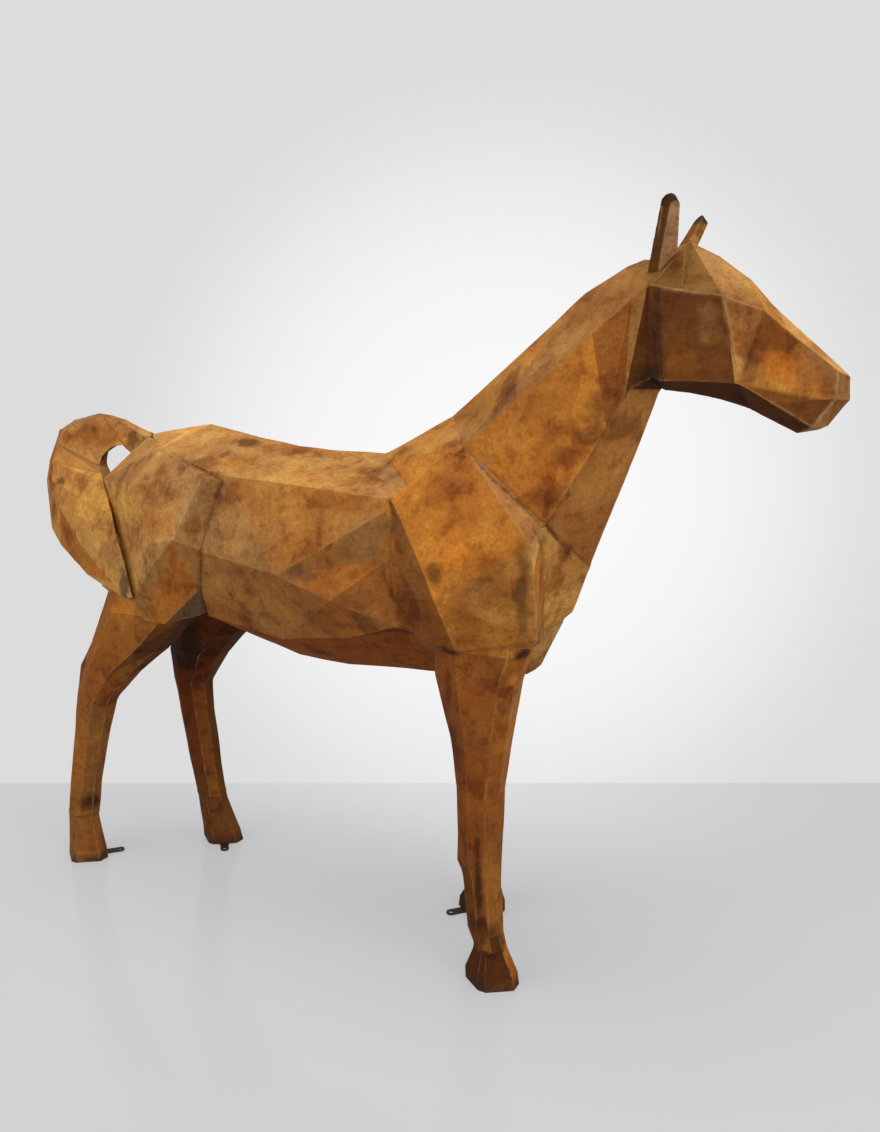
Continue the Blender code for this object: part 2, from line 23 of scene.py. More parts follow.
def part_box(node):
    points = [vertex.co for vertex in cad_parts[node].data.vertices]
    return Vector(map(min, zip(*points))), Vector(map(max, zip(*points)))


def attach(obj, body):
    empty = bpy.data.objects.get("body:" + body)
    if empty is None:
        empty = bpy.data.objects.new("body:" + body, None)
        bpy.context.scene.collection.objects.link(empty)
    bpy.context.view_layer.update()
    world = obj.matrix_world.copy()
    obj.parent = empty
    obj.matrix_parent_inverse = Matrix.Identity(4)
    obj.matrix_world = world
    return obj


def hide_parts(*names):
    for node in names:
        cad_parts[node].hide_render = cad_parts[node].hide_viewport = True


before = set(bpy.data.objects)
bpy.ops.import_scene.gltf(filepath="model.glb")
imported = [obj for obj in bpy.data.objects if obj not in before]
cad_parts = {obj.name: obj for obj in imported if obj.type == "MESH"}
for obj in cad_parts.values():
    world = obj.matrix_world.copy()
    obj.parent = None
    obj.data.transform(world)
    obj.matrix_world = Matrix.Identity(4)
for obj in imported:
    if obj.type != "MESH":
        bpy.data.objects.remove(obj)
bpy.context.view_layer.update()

# --- Skins --------------------------------------------------------------------------------------
# Side of a triangle on the folded bodies, whose folds stay crisp
FOLDED = {"horse": 0.0090, "tail": 0.0060}
# The head, beyond this x and this height, has triangles of this share of that side
FINE_SHARE = 0.66
FINE_FROM = (0.84, 1.48)
# Distance from a fold to the row of points beside it
BESIDE = 0.0042
# Grid of points inside a face: its rows' spacing and its distance from the rim, in sides
GRID_ROW = 0.866
RIM_SHARE = 0.8
# The grid starts this part of a side, as a divisor, from the lowest corner
GRID_START = 3
# CAD corners closer than this are one corner, and flatter neighbours than this are one face
JOIN_DISTANCE = 0.00002
FLAT_ANGLE = math.radians(0.1)
CRISP_ANGLE = math.radians(3.0)
# Two edges of a face run straight on when the sine of their turn is smaller
STRAIGHT_TURN = 0.003
# How far a straight side is bent inwards, and the most, as a share of the face's mean width
HAIR = 0.000001
HAIR_SHARE = 0.2
# Triangles lower than this are dropped
SLIVER = 0.00001
# Output kind (triangles within the outlines) and tolerance of the cut
CUT_KIND = 1
CUT_TOLERANCE = 0.00000001
FAR = 9.0
# Voxel size of the smaller, softer bodies
ROUNDED = {"right_ear": 0.0022, "left_ear": 0.0022}
for place in ("right_fore", "left_fore", "right_hind", "left_hind"):
    ROUNDED["anchor_tab_" + place] = 0.0012
SMOOTHING_ROUNDS = 2
SMOOTHING_SHARE = 0.65

# --- Relief -------------------------------------------------------------------------------------
# Buckled plates and hammered skin: (height, length of a wave)
BUCKLES = [(0.0015, 0.34), (0.0006, 0.12), (0.00014, 0.035)]
FIRST_BUCKLE_SEED = 3
# Bodies with a shorter diagonal than this buckle less
FULL_BUCKLE_SIZE = 0.6
# Sines summed in a random field, the spread of their wave lengths, and what levels the sum
WAVE_COUNT = 26
WAVE_SPREAD = (0.7, 1.4)
WAVE_LEVEL = 1.6
BEAD_HEIGHT = 0.0026
BEAD_REACH = 0.0095
# Ripple along a bead: mean, swing, length of a wave, seed
BEAD_RIPPLE = (0.8, 0.35, 0.013, 17)
# Weld that rises on the body round what is welded to it
FILLET_REACH = 0.012
FILLET_HEIGHT = 0.006
FILLET_CURVE = 1.5

# --- Folds --------------------------------------------------------------------------------------
PLATE_ANGLE = math.radians(6.0)
# Stands for the angle to a plate without a facing, and is more than any real angle
NO_ANGLE = 4.0
FOLD_ANGLE = math.radians(11.0)
SHARP_ANGLE = math.radians(38.0)
FOLD_STEP = 0.004
# Reach of the worn edge along ridges, which also carries a painted highlight
WEAR_AND_HIGHLIGHT_REACH = 0.007
SEAM_REACH = 0.011
CONTACT_REACH = 0.014

# --- Rust colours -------------------------------------------------------------------------------
SAND = (0.640, 0.370, 0.120)
STRAW = (0.600, 0.285, 0.060)
GOLD = (0.530, 0.250, 0.060)
HONEY = (0.445, 0.210, 0.052)
TAN = (0.415, 0.193, 0.055)
STONE = (0.350, 0.160, 0.048)
SAFFRON = (0.495, 0.205, 0.040)
BRIGHT = (0.520, 0.187, 0.025)
ORANGE = (0.455, 0.160, 0.022)
AMBER = (0.412, 0.164, 0.035)
OCHRE = (0.375, 0.160, 0.032)
COPPER = (0.390, 0.135, 0.024)
KHAKI = (0.320, 0.138, 0.036)
RUST = (0.320, 0.105, 0.017)
SIENNA = (0.265, 0.095, 0.019)
CHESTNUT = (0.250, 0.075, 0.012)
OXIDE = (0.270, 0.064, 0.006)
OLIVE = (0.250, 0.115, 0.026)
MOSS = (0.200, 0.085, 0.018)
MAROON = (0.180, 0.042, 0.005)
BROWN = (0.178, 0.059, 0.012)
BRICK = (0.310, 0.094, 0.015)
ROSE = (0.420, 0.205, 0.085)
BARK = (0.150, 0.047, 0.008)
UMBER = (0.100, 0.030, 0.005)
CHAR = (0.074, 0.021, 0.004)
SOOT = (0.030, 0.012, 0.004)
SLATE = (0.128, 0.070, 0.038)
ASH = (0.420, 0.370, 0.300)
PALE = (0.580, 0.370, 0.170)

# Plates by a point on each (x, breadth, height), for both sides of the body
# The points are plate centres that a program listed, and the colours were chosen by comparing
# the photo's mean colour on each plate with the render's
HORSE_PLATES = [
    # head
    ((0.945, 0.097, 1.745), BARK),
    # The two plates just behind the jaw carry painted shade of the head on the neck's front
    ((0.851, 0.090, 1.744), UMBER),
    ((0.823, 0.088, 1.706), UMBER),
    ((0.782, 0.103, 1.658), CHESTNUT),
    ((0.810, 0.095, 1.770), KHAKI),
    ((1.122, 0.078, 1.694), SAFFRON),
    ((1.204, 0.059, 1.578), BROWN),
    ((1.146, 0.042, 1.566), UMBER),
    ((1.036, 0.030, 1.608), CHAR),
    ((0.996, 0.061, 1.629), CHAR),
    ((0.918, 0.063, 1.635), CHAR),
    ((1.008, 0.051, 1.879), TAN),
    ((1.048, 0.027, 1.870), HONEY),
    ((0.947, 0.070, 1.883), OLIVE),
    ((0.894, 0.082, 1.893), MOSS),
    ((0.872, 0.049, 1.927), OLIVE),
    ((0.798, 0.030, 1.911), OLIVE),
    ((0.916, 0.052, 1.927), OLIVE),
    ((1.105, 0.050, 1.810), GOLD),
    ((1.201, 0.028, 1.725), SAND),
    ((1.228, 0.058, 1.673), STONE),
    ((1.275, 0.038, 1.629), STONE),
    ((1.265, 0.036, 1.581), SIENNA),
    ((1.242, 0.044, 1.560), STONE),
    # neck
    ((0.638, 0.070, 1.757), KHAKI),
    ((0.432, 0.047, 1.632), OCHRE),
    ((0.224, 0.048, 1.487), SAFFRON),
    ((0.219, 0.099, 1.423), BRIGHT),
    ((0.568, 0.139, 1.511), ORANGE),
    ((0.695, 0.132, 1.529), BRIGHT),
    ((0.754, 0.105, 1.711), RUST),
    ((0.731, 0.067, 1.403), AMBER),
    # shoulder and chest
    ((0.363, 0.209, 1.330), ORANGE),
    ((0.222, 0.183, 1.362), BRIGHT),
    ((0.495, 0.248, 1.247), BRIGHT),
    ((0.429, 0.262, 1.174), BRIGHT),
    ((0.536, 0.253, 1.119), SAFFRON),
    ((0.463, 0.247, 1.019), ORANGE),
    ((0.535, 0.192, 1.344), TAN),
    ((0.634, 0.087, 1.137), STRAW),
    ((0.645, 0.127, 1.246), GOLD),
    ((0.624, 0.223, 1.169), BRIGHT),
    ((0.620, 0.230, 1.231), SAND),
    ((0.610, 0.165, 1.069), AMBER),
    ((0.559, 0.045, 0.930), HONEY),
    ((0.551, 0.232, 0.985), COPPER),
    ((0.232, 0.223, 1.195), SIENNA),
    ((0.291, 0.250, 1.115), SIENNA),
    ((0.312, 0.234, 1.023), CHESTNUT),
    # flank and belly
    ((0.081, 0.228, 1.203), KHAKI),
    ((0.029, 0.254, 1.118), COPPER),
    ((0.146, 0.234, 1.076), SIENNA),
    ((-0.098, 0.231, 1.278), AMBER),
    ((-0.325, 0.239, 1.226), TAN),
    ((-0.352, 0.244, 1.099), KHAKI),
    ((-0.450, 0.242, 1.265), TAN),
    ((-0.205, 0.233, 1.020), AMBER),
    ((0.021, 0.221, 0.981), COPPER),
    ((0.020, 0.126, 0.875), OXIDE),
    ((0.168, 0.150, 0.919), OXIDE),
    ((-0.250, 0.123, 0.874), OXIDE),
    ((-0.394, 0.181, 0.955), COPPER),
    ((0.225, 0.000, 0.834), BARK),
    ((-0.399, 0.000, 0.894), BARK),
    # back, croup and haunch
    ((-0.163, 0.095, 1.417), HONEY),
    ((0.001, 0.067, 1.416), HONEY),
    ((0.122, 0.127, 1.377), TAN),
    ((-0.306, 0.137, 1.413), HONEY),
    ((-0.517, 0.099, 1.456), TAN),
    ((-0.706, 0.053, 1.488), GOLD),
    ((-0.804, 0.122, 1.428), TAN),
    ((-0.770, 0.186, 1.380), STONE),
    ((-0.608, 0.209, 1.391), TAN),
    ((-0.577, 0.255, 1.285), TAN),
    ((-0.789, 0.227, 1.165), GOLD),
    ((-0.610, 0.282, 1.120), TAN),
    ((-0.482, 0.244, 1.125), KHAKI),
    ((-0.627, 0.273, 1.040), KHAKI),
    ((-0.597, 0.261, 1.011), COPPER),
    ((-0.534, 0.247, 1.046), COPPER),
    ((-0.533, 0.212, 0.963), SLATE),
    # right hind leg
    ((-0.924, 0.225, 0.647), RUST),
    ((-0.783, 0.240, 0.956), ORANGE),
    ((-0.939, 0.210, 0.830), RUST),
    ((-0.659, 0.221, 0.882), BARK),
    ((-0.685, 0.201, 0.843), UMBER),
    ((-0.648, 0.150, 0.866), CHAR),
    ((-0.785, 0.215, 0.770), BROWN),
    ((-0.808, 0.198, 0.740), RUST),
    ((-0.883, 0.197, 0.673), RUST),
    ((-0.882, 0.158, 0.657), SIENNA),
    ((-0.932, 0.209, 0.637), RUST),
    ((-1.014, 0.197, 0.396), SIENNA),
    ((-0.999, 0.163, 0.394), SIENNA),
    ((-1.067, 0.203, 0.099), SIENNA),
    ((-1.040, 0.168, 0.101), SIENNA),
    ((-1.056, 0.209, 0.020), ORANGE),
    # left hind leg: darker than the right one, painted shade of the far leg
    ((-0.790, 0.084, 0.689), MAROON),
    ((-0.800, 0.130, 0.394), CHESTNUT),
    ((-0.785, 0.163, 0.394), BARK),
    ((-0.871, 0.093, 0.830), CHAR),
    ((-0.802, 0.109, 0.637), OXIDE),
    ((-0.765, 0.118, 0.673), MAROON),
    ((-0.758, 0.158, 0.657), BARK),
    ((-0.711, 0.112, 0.740), UMBER),
    ((-0.823, 0.121, 0.225), BARK),
    ((-0.758, 0.133, 0.099), BROWN),
    ((-0.731, 0.168, 0.101), BROWN),
    ((-0.789, 0.112, 0.078), BARK),
    # fore legs
    ((0.463, 0.221, 0.632), BRICK),
    ((0.461, 0.093, 0.646), BARK),
    ((0.394, 0.199, 0.585), CHESTNUT),
    ((0.371, 0.211, 0.857), CHESTNUT),
    ((0.292, 0.113, 0.890), CHESTNUT),
    ((0.516, 0.203, 0.723), RUST),
    ((0.529, 0.155, 0.724), AMBER),
    ((0.549, 0.208, 0.912), BRIGHT),
    ((0.563, 0.151, 0.912), COPPER),
    ((0.495, 0.196, 0.368), RUST),
    ((0.505, 0.163, 0.370), RUST),
    ((0.431, 0.194, 0.220), BARK),
    ((0.515, 0.201, 0.066), CHAR),
    ((0.540, 0.168, 0.067), RUST),
    ((0.448, 0.203, 0.065), CHAR),
    ((0.527, 0.207, 0.017), BROWN),
]
EAR_PLATES = [((0.891, 0.106, 1.970), ROSE), ((0.869, 0.092, 1.981), BARK)]
PLATES = {
    "horse": HORSE_PLATES,
    "tail": [
        ((-0.925, 0.219, 1.185), GOLD),
        ((-1.022, 0.196, 1.114), ORANGE),
        ((-1.202, 0.128, 1.233), GOLD),
        ((-0.971, 0.181, 1.304), STRAW),
        ((-1.239, 0.097, 1.375), COPPER),
        ((-1.121, 0.090, 1.453), HONEY),
        ((-1.100, 0.143, 1.355), STRAW),
        ((-0.933, 0.037, 1.485), TAN),
        ((-1.121, 0.118, 1.402), GOLD),
        ((-1.050, 0.078, 1.452), KHAKI),
        ((-1.079, 0.055, 1.503), STONE),
        ((-0.922, 0.174, 1.187), UMBER),
    ],
    "right_ear": EAR_PLATES,
    "left_ear": EAR_PLATES + [((0.900, 0.092, 1.989), MOSS)],
}
# How far a point may be from its plate, and a lead too small to count: the later point wins
PLATE_REACH = 0.05
PLATE_TIE = 0.001
# How much a difference in facing counts against distance when a bare plate picks its colour
FACING_WEIGHT = 0.15
SHADE_SWING = (0.94, 1.06)
SHADE_SEED = 7
# Bodies whose other plates are narrow edges
EDGED = ("right_ear", "left_ear")
EDGE_COLOUR = BARK

# Painted light and shade: facets that the flat side lacks, drawn on it as panels of another colour:
# corners (x, height), colour, strength
FACET_LIGHT_AND_SHADE_PANELS = {
    "horse": [
        ([(1.0155, 1.833), (1.1055, 1.798), (1.0605, 1.639)], TAN, 0.9),
        ([(1.030, 1.775), (1.062, 1.760), (1.075, 1.690), (1.0605, 1.639)], BRIGHT, 0.5),
        ([(1.1055, 1.798), (1.190, 1.745), (1.165, 1.700), (1.080, 1.715)], BROWN, 0.75),
        ([(1.080, 1.715), (1.110, 1.710), (1.085, 1.640), (1.0605, 1.639)], SIENNA, 0.6),
        ([(1.0605, 1.639), (1.1425, 1.621), (1.2645, 1.602), (1.217, 1.539)], BROWN, 0.9),
    ],
}
PANEL_EDGE = 0.007
PANEL_FACING = 0.80

# Patches with a ragged edge: middle, half sizes along x, y and z, colour, strength.  A patch on
# the right side is repeated, fainter, on the left; one on the left stands alone.
HORSE_PATCHES = [
    # croup and back: brushed brown marks
    ((-0.42, -0.04, 1.47), (0.05, 0.03, 0.03), UMBER, 0.8),
    ((-0.46, -0.16, 1.41), (0.05, 0.03, 0.03), CHESTNUT, 0.6),
    ((-0.36, -0.12, 1.42), (0.07, 0.03, 0.03), CHESTNUT, 0.5),
    ((-0.27, -0.04, 1.45), (0.07, 0.04, 0.03), CHESTNUT, 0.6),
    ((-0.13, -0.03, 1.44), (0.08, 0.03, 0.03), RUST, 0.6),
    ((-0.62, -0.14, 1.42), (0.08, 0.04, 0.03), COPPER, 0.6),
    ((-0.60, -0.25, 1.22), (0.06, 0.04, 0.05), COPPER, 0.5),
    ((0.06, -0.13, 1.38), (0.08, 0.05, 0.03), CHESTNUT, 0.6),
    # flank
    ((0.02, -0.21, 1.33), (0.14, 0.05, 0.04), RUST, 0.7),
    ((-0.22, -0.26, 1.16), (0.05, 0.05, 0.05), SLATE, 0.3),
    ((-0.08, -0.27, 1.13), (0.06, 0.04, 0.025), SLATE, 0.6),
    ((-0.05, -0.24, 1.21), (0.09, 0.05, 0.06), ORANGE, 0.6),
    ((0.18, -0.20, 1.22), (0.025, 0.04, 0.08), ORANGE, 0.8),
    ((0.12, -0.22, 0.99), (0.06, 0.05, 0.04), UMBER, 0.6),
    ((-0.10, -0.12, 0.86), (0.05, 0.04, 0.02), SOOT, 0.7),
    ((-0.26, -0.24, 1.06), (0.05, 0.04, 0.03), CHESTNUT, 0.6),
    # shoulder
    ((0.35, -0.20, 1.37), (0.09, 0.05, 0.05), CHESTNUT, 0.40),
    ((0.36, -0.26, 1.16), (0.025, 0.03, 0.03), UMBER, 0.7),
    ((0.42, -0.26, 1.08), (0.04, 0.03, 0.06), RUST, 0.6),
    ((0.53, -0.26, 1.17), (0.06, 0.03, 0.06), CHESTNUT, 0.5),
    ((0.595, -0.25, 1.12), (0.022, 0.04, 0.13), MOSS, 1.0),
    ((0.57, -0.19, 0.955), (0.05, 0.05, 0.018), SOOT, 0.9),
    ((0.38, -0.22, 0.95), (0.035, 0.04, 0.014), SOOT, 0.8),
    # neck
    ((0.33, -0.08, 1.52), (0.09, 0.06, 0.04), HONEY, 0.8),
    ((0.67, -0.14, 1.46), (0.05, 0.04, 0.025), CHESTNUT, 0.9),
    ((0.62, -0.16, 1.36), (0.05, 0.04, 0.03), BROWN, 0.8),
    ((0.75, -0.11, 1.60), (0.05, 0.04, 0.06), CHESTNUT, 0.8),
    ((0.71, -0.13, 1.52), (0.04, 0.04, 0.03), BROWN, 0.6),
    ((0.44, -0.15, 1.43), (0.02, 0.02, 0.012), ASH, 0.25),
    ((0.59, -0.19, 1.30), (0.03, 0.03, 0.02), STONE, 0.8),
    # head
    ((0.94, -0.08, 1.875), (0.04, 0.03, 0.02), BROWN, 0.7),
    # painted shade in the throat under the jaw
    ((0.84, -0.07, 1.65), (0.05, 0.06, 0.04), SOOT, 0.8),
    ((1.14, -0.08, 1.670), (0.04, 0.04, 0.035), BRIGHT, 1.0),
    ((1.21, -0.07, 1.67), (0.03, 0.04, 0.05), STONE, 0.5),
    ((0.985, -0.10, 1.78), (0.035, 0.03, 0.045), STONE, 0.4),
    ((0.95, -0.10, 1.68), (0.07, 0.03, 0.03), CHESTNUT, 0.6),
    # legs
    ((0.462, -0.20, 0.32), (0.013, 0.06, 0.15), CHAR, 1.0),
    ((0.470, -0.20, 0.17), (0.024, 0.06, 0.05), CHAR, 1.0),
    ((0.49, -0.20, 0.16), (0.05, 0.05, 0.05), UMBER, 0.8),
    ((0.50, -0.20, 0.43), (0.03, 0.04, 0.10), RUST, 0.7),
    ((0.47, -0.21, 0.05), (0.060, 0.07, 0.06), CHAR, 0.95),
    ((-1.04, -0.19, 0.22), (0.05, 0.06, 0.035), SOOT, 0.8),
    # painted shadow on the inner thigh of the far hind leg
    ((-0.82, 0.08, 0.74), (0.12, 0.12, 0.16), SOOT, 0.85),
]
PATCHES = {
    "horse": HORSE_PATCHES,
    "tail": [
        ((-0.96, -0.20, 1.27), (0.10, 0.10, 0.10), STRAW, 0.9),
        ((-1.14, -0.13, 1.36), (0.07, 0.05, 0.04), GOLD, 0.8),
        ((-1.13, -0.13, 1.33), (0.03, 0.04, 0.012), BROWN, 0.8),
        ((-0.80, -0.25, 1.12), (0.06, 0.06, 0.07), STONE, 0.8),
        ((-0.73, -0.28, 1.03), (0.03, 0.04, 0.07), SLATE, 0.9),
        ((-1.08, -0.08, 1.48), (0.10, 0.08, 0.035), CHESTNUT, 0.85),
        ((-1.20, -0.08, 1.38), (0.05, 0.06, 0.06), COPPER, 0.8),
        ((-1.03, -0.14, 1.14), (0.06, 0.05, 0.06), COPPER, 0.8),
        ((-0.90, -0.03, 1.46), (0.04, 0.05, 0.05), UMBER, 0.7),
    ],
    "right_ear": [
        ((0.90, -0.16, 2.05), (0.05, 0.03, 0.025), SOOT, 0.95),
    ],
    "left_ear": [
        ((0.90, 0.16, 2.05), (0.05, 0.03, 0.025), SOOT, 0.95),
        ((0.895, 0.095, 1.975), (0.010, 0.02, 0.035), HONEY, 0.5),
    ],
}
FAR_SIDE_STRENGTH = 0.6
# Where a patch ends and how wide it fades, in half sizes, and its raggedness: swing, wave, seed
PATCH_RIM = 1.15
PATCH_FADE = 0.7
RAGGED = ((0.30, 0.07, 31), (0.15, 0.022, 32))
# Hooves darker towards the bottom: full up to this height, then fading
HOOF_TOP = 0.012
HOOF_FADE = 0.030

# Painted lines along welds, creases and worn folds, the dark ones painted shade and the light ones
# partly painted highlight: corners (x, breadth, height), reach, colour, strength
HORSE_LINES = [
    # neck against the shoulder, and the collar above the breast: painted shade in the creases
    ([(0.36, 0.15, 1.463), (0.42, 0.155, 1.44), (0.48, 0.17, 1.40), (0.54, 0.17, 1.35),
      (0.625, 0.18, 1.295)], 0.010, UMBER, 0.75),
    ([(0.625, 0.18, 1.295), (0.655, 0.09, 1.215)], 0.012, UMBER, 0.9),
    # back edge of the shoulder: painted shade in the crease
    ([(0.18, 0.19, 1.34), (0.21, 0.207, 1.285), (0.165, 0.21, 1.20), (0.17, 0.214, 1.13),
      (0.25, 0.20, 0.985)], 0.011, UMBER, 0.7),
    # haunch strip: speckled weld in front with painted shade, worn ridge behind with painted
    # highlight, and painted shade where it meets the flank and thigh
    ([(-0.385, 0.20, 1.362), (-0.43, 0.215, 1.26), (-0.447, 0.23, 1.15)], 0.012, UMBER, 0.5),
    ([(-0.43, 0.24, 1.38), (-0.47, 0.26, 1.29), (-0.516, 0.285, 1.195)], 0.007, PALE, 0.40),
    ([(-0.447, 0.23, 1.15), (-0.456, 0.228, 1.12), (-0.48, 0.216, 1.03)], 0.013, UMBER, 0.8),
    # behind the jaw: painted shadow of the head on the neck
    ([(0.86, 0.096, 1.85), (0.865, 0.096, 1.76), (0.877, 0.095, 1.645)], 0.016, SOOT, 0.8),
    # front edge of the shoulder, worn bright, with painted highlight
    ([(0.61, 0.25, 1.255), (0.625, 0.25, 1.18), (0.63, 0.24, 1.07)], 0.006, PALE, 0.5),
    ([(0.625, 0.215, 1.288), (0.60, 0.20, 1.24)], 0.012, PALE, 0.6),
    # brow, nose and muzzle: light lines are worn edges with painted highlight; the dark nose line
    # is painted shade at a painted facet's edge
    ([(0.87, 0.10, 1.858), (1.015, 0.105, 1.833), (1.105, 0.08, 1.798)], 0.006, PALE, 0.35),
    ([(1.015, 0.105, 1.833), (1.0605, 0.088, 1.639)], 0.006, PALE, 0.4),
    ([(1.105, 0.080, 1.798), (1.0605, 0.088, 1.639)], 0.006, UMBER, 0.6),
    ([(1.265, 0.05, 1.664), (1.265, 0.055, 1.602), (1.217, 0.05, 1.539)], 0.006, PALE, 0.6),
    ([(1.13, 0.072, 1.594), (1.217, 0.05, 1.539)], 0.006, PALE, 0.3),
]
LINES = {
    "horse": HORSE_LINES,
    "right_ear": [([(0.845, 0.06, 1.905), (0.880, 0.150, 2.030)], 0.004, PALE, 0.5)],
}
LINE_CORE = 1.5
# How a line is broken up: mean, swing, length of a wave, seed
BROKEN = (0.75, 0.45, 0.035, 33)

# --- Steel --------------------------------------------------------------------------------------
# Noise fields of the rust: waves in a metre, detail, roughness, distortion
FIELDS = {
    "cloud": (2.6, 3, 0.50, 0.2),
    "hue": (5.0, 5, 0.60, 0.2),
    "blotch": (7.0, 5, 0.56, 0.15),
    "smear": (17.0, 5, 0.58, 0.15),
    "spot": (38.0, 4, 0.58, 0.0),
    "grain": (110.0, 3, 0.60, 0.0),
    "speck": (240.0, 2, 0.5, 0.0),
}
# Runs of rust: waves in a metre along x, y and z
STREAK_SCALE = (20.0, 20.0, 4.0)
# Tones that multiply the colour: field, value where it starts, value where it is full, strength
TONES = [
    ("cloud", 0.50, 0.68, 0.70, (1.18, 1.22, 1.15)),
    ("cloud", 0.50, 0.34, 0.80, (0.76, 0.62, 0.52)),
    ("hue", 0.50, 0.66, 0.80, (1.05, 0.90, 0.74)),
    ("hue", 0.50, 0.34, 0.80, (0.96, 1.06, 1.26)),
    ("blotch", 0.51, 0.68, 0.80, (1.25, 1.34, 1.32)),
    ("blotch", 0.49, 0.33, 0.85, (0.62, 0.48, 0.42)),
    ("blotch", 0.410, 0.390, 0.30, (0.60, 0.50, 0.45)),
    ("smear", 0.52, 0.70, 0.80, (0.64, 0.52, 0.46)),
    ("smear", 0.48, 0.32, 0.80, (1.17, 1.27, 1.25)),
    ("spot", 0.54, 0.70, 0.65, (0.70, 0.58, 0.50)),
    ("spot", 0.45, 0.30, 0.65, (1.12, 1.20, 1.25)),
    ("streak", 0.55, 0.74, 0.50, (0.66, 0.58, 0.52)),
]
# How far the finest grain swings red, green and blue
GRAIN_SWING = (0.12, 0.15, 0.20)
FLECK_TONE = (0.42, 0.36, 0.34)
# Colour of worn folds, which also stands for a painted highlight along the ridges
WEAR_AND_HIGHLIGHT_COLOUR = (0.58, 0.340, 0.140)
DIRT_TONE = (0.34, 0.30, 0.28)
SOLE_COLOUR = (0.050, 0.024, 0.012)


def welded(node_name):
    """The node's CAD mesh as a bmesh: corners joined again, flat neighbours made one face."""
    bm = bmesh.new()
    bm.from_mesh(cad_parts[node_name].data)
    bmesh.ops.remove_doubles(bm, verts=bm.verts, dist=JOIN_DISTANCE)
    bmesh.ops.dissolve_limit(bm, angle_limit=FLAT_ANGLE, verts=bm.verts, edges=bm.edges)
    bm.normal_update()
    for elements in (bm.verts, bm.edges, bm.faces):
        elements.index_update()
    bm.faces.ensure_lookup_table()
    return bm


def remeshed(source, voxel):
    """A new mesh: the source mesh rebuilt from voxels of that size."""
    holder = bpy.data.objects.new("holder", source)
    bpy.context.scene.collection.objects.link(holder)
    modifier = holder.modifiers.new("remesh", "REMESH")
    modifier.mode = "VOXEL"
    modifier.voxel_size = voxel
    modifier.adaptivity = 0.0
    graph = bpy.context.evaluated_depsgraph_get()
    made = bpy.data.meshes.new_from_object(holder.evaluated_get(graph))
    bpy.data.objects.remove(holder)
    return made


def vectors_of(elements, name):
    """One vector of each element of a mesh as an array."""
    flat = np.zeros(len(elements) * 3, np.float32)
    elements.foreach_get(name, flat)
    return flat.reshape(-1, 3).astype(float)


def points_of(mesh):
    """Vertex positions as an array."""
    return vectors_of(mesh.vertices, "co")


def set_points(mesh, points):
    """Writes vertex positions back."""
    mesh.vertices.foreach_set("co", points.astype(np.float32).ravel())
    mesh.update()


def averaged(mesh, values, rounds, share):
    """Each vertex's value moves by the share given towards the mean of its neighbours."""
    pairs = np.zeros(len(mesh.edges) * 2, np.int32)
    mesh.edges.foreach_get("vertices", pairs)
    first, second = pairs.reshape(-1, 2).T
    degree = np.bincount(np.concatenate([first, second]), minlength=len(values))
    for _ in range(rounds):
        mean = np.empty_like(values)
        for column in range(values.shape[1]):
            total = np.bincount(first, values[second, column], len(values))
            total += np.bincount(second, values[first, column], len(values))
            mean[:, column] = total / np.maximum(degree, 1)
        values = (1 - share) * values + share * mean
    return values


def gaps_to(points, start, end):
    """How far each point is from a straight piece of line."""
    run = end - start
    share = np.clip((points - start) @ run / (run @ run), 0, 1)
    return np.linalg.norm(points - start - share[:, None] * run, axis=1)


def depths(points, corners):
    """How deep each point lies inside a flat outline; below zero outside it."""
    nearest = np.full(len(points), FAR)
    crossings = np.zeros(len(points), int)
    for start, end in zip(corners, np.roll(corners, -1, axis=0)):
        run = end - start
        nearest = np.minimum(nearest, gaps_to(points, start, end))
        if run[1]:
            level = (points[:, 1] - start[1]) / run[1]
            right = start[0] + level * run[0] > points[:, 0]
            crossings += right & ((points[:, 1] < start[1]) != (points[:, 1] < end[1]))
    return np.where(crossings % 2 == 1, nearest, -nearest)


def filling(corners, folded, side):
    """Points inside a flat outline: a row beside each fold, and an even grid."""
    low, high = corners.min(axis=0), corners.max(axis=0)
    rows = np.arange(low[1] + side / GRID_START, high[1], side * GRID_ROW)
    across = np.arange(low[0] + side / GRID_START, high[0], side)
    grid = [(x + row % 2 * side / 2, y) for row, y in enumerate(rows) for x in across]
    beside = []
    for start, end, fold in zip(corners, np.roll(corners, -1, axis=0), folded):
        run = end - start
        length = np.linalg.norm(run)
        parts = max(1, round(length / side))
        inward = np.array((-run[1], run[0])) / length * BESIDE
        if fold:
            beside += [start + run * (part + 0.5) / parts + inward for part in range(parts)]
    made = []
    for spots, least in ((beside, RIM_SHARE * BESIDE), (grid, RIM_SHARE * side)):
        if spots:
            spots = np.array(spots)
            made += list(spots[depths(spots, corners) > least])
    return made


def bends_of(headings):
    """The corners of an outline where it really turns."""
    bends = []
    for corner, heading in enumerate(headings):
        before = headings[corner - 1]
        turn = before[0] * heading[1] - before[1] * heading[0]
        if abs(turn) > STRAIGHT_TURN or before @ heading < 0:
            bends.append(corner)
    return bends


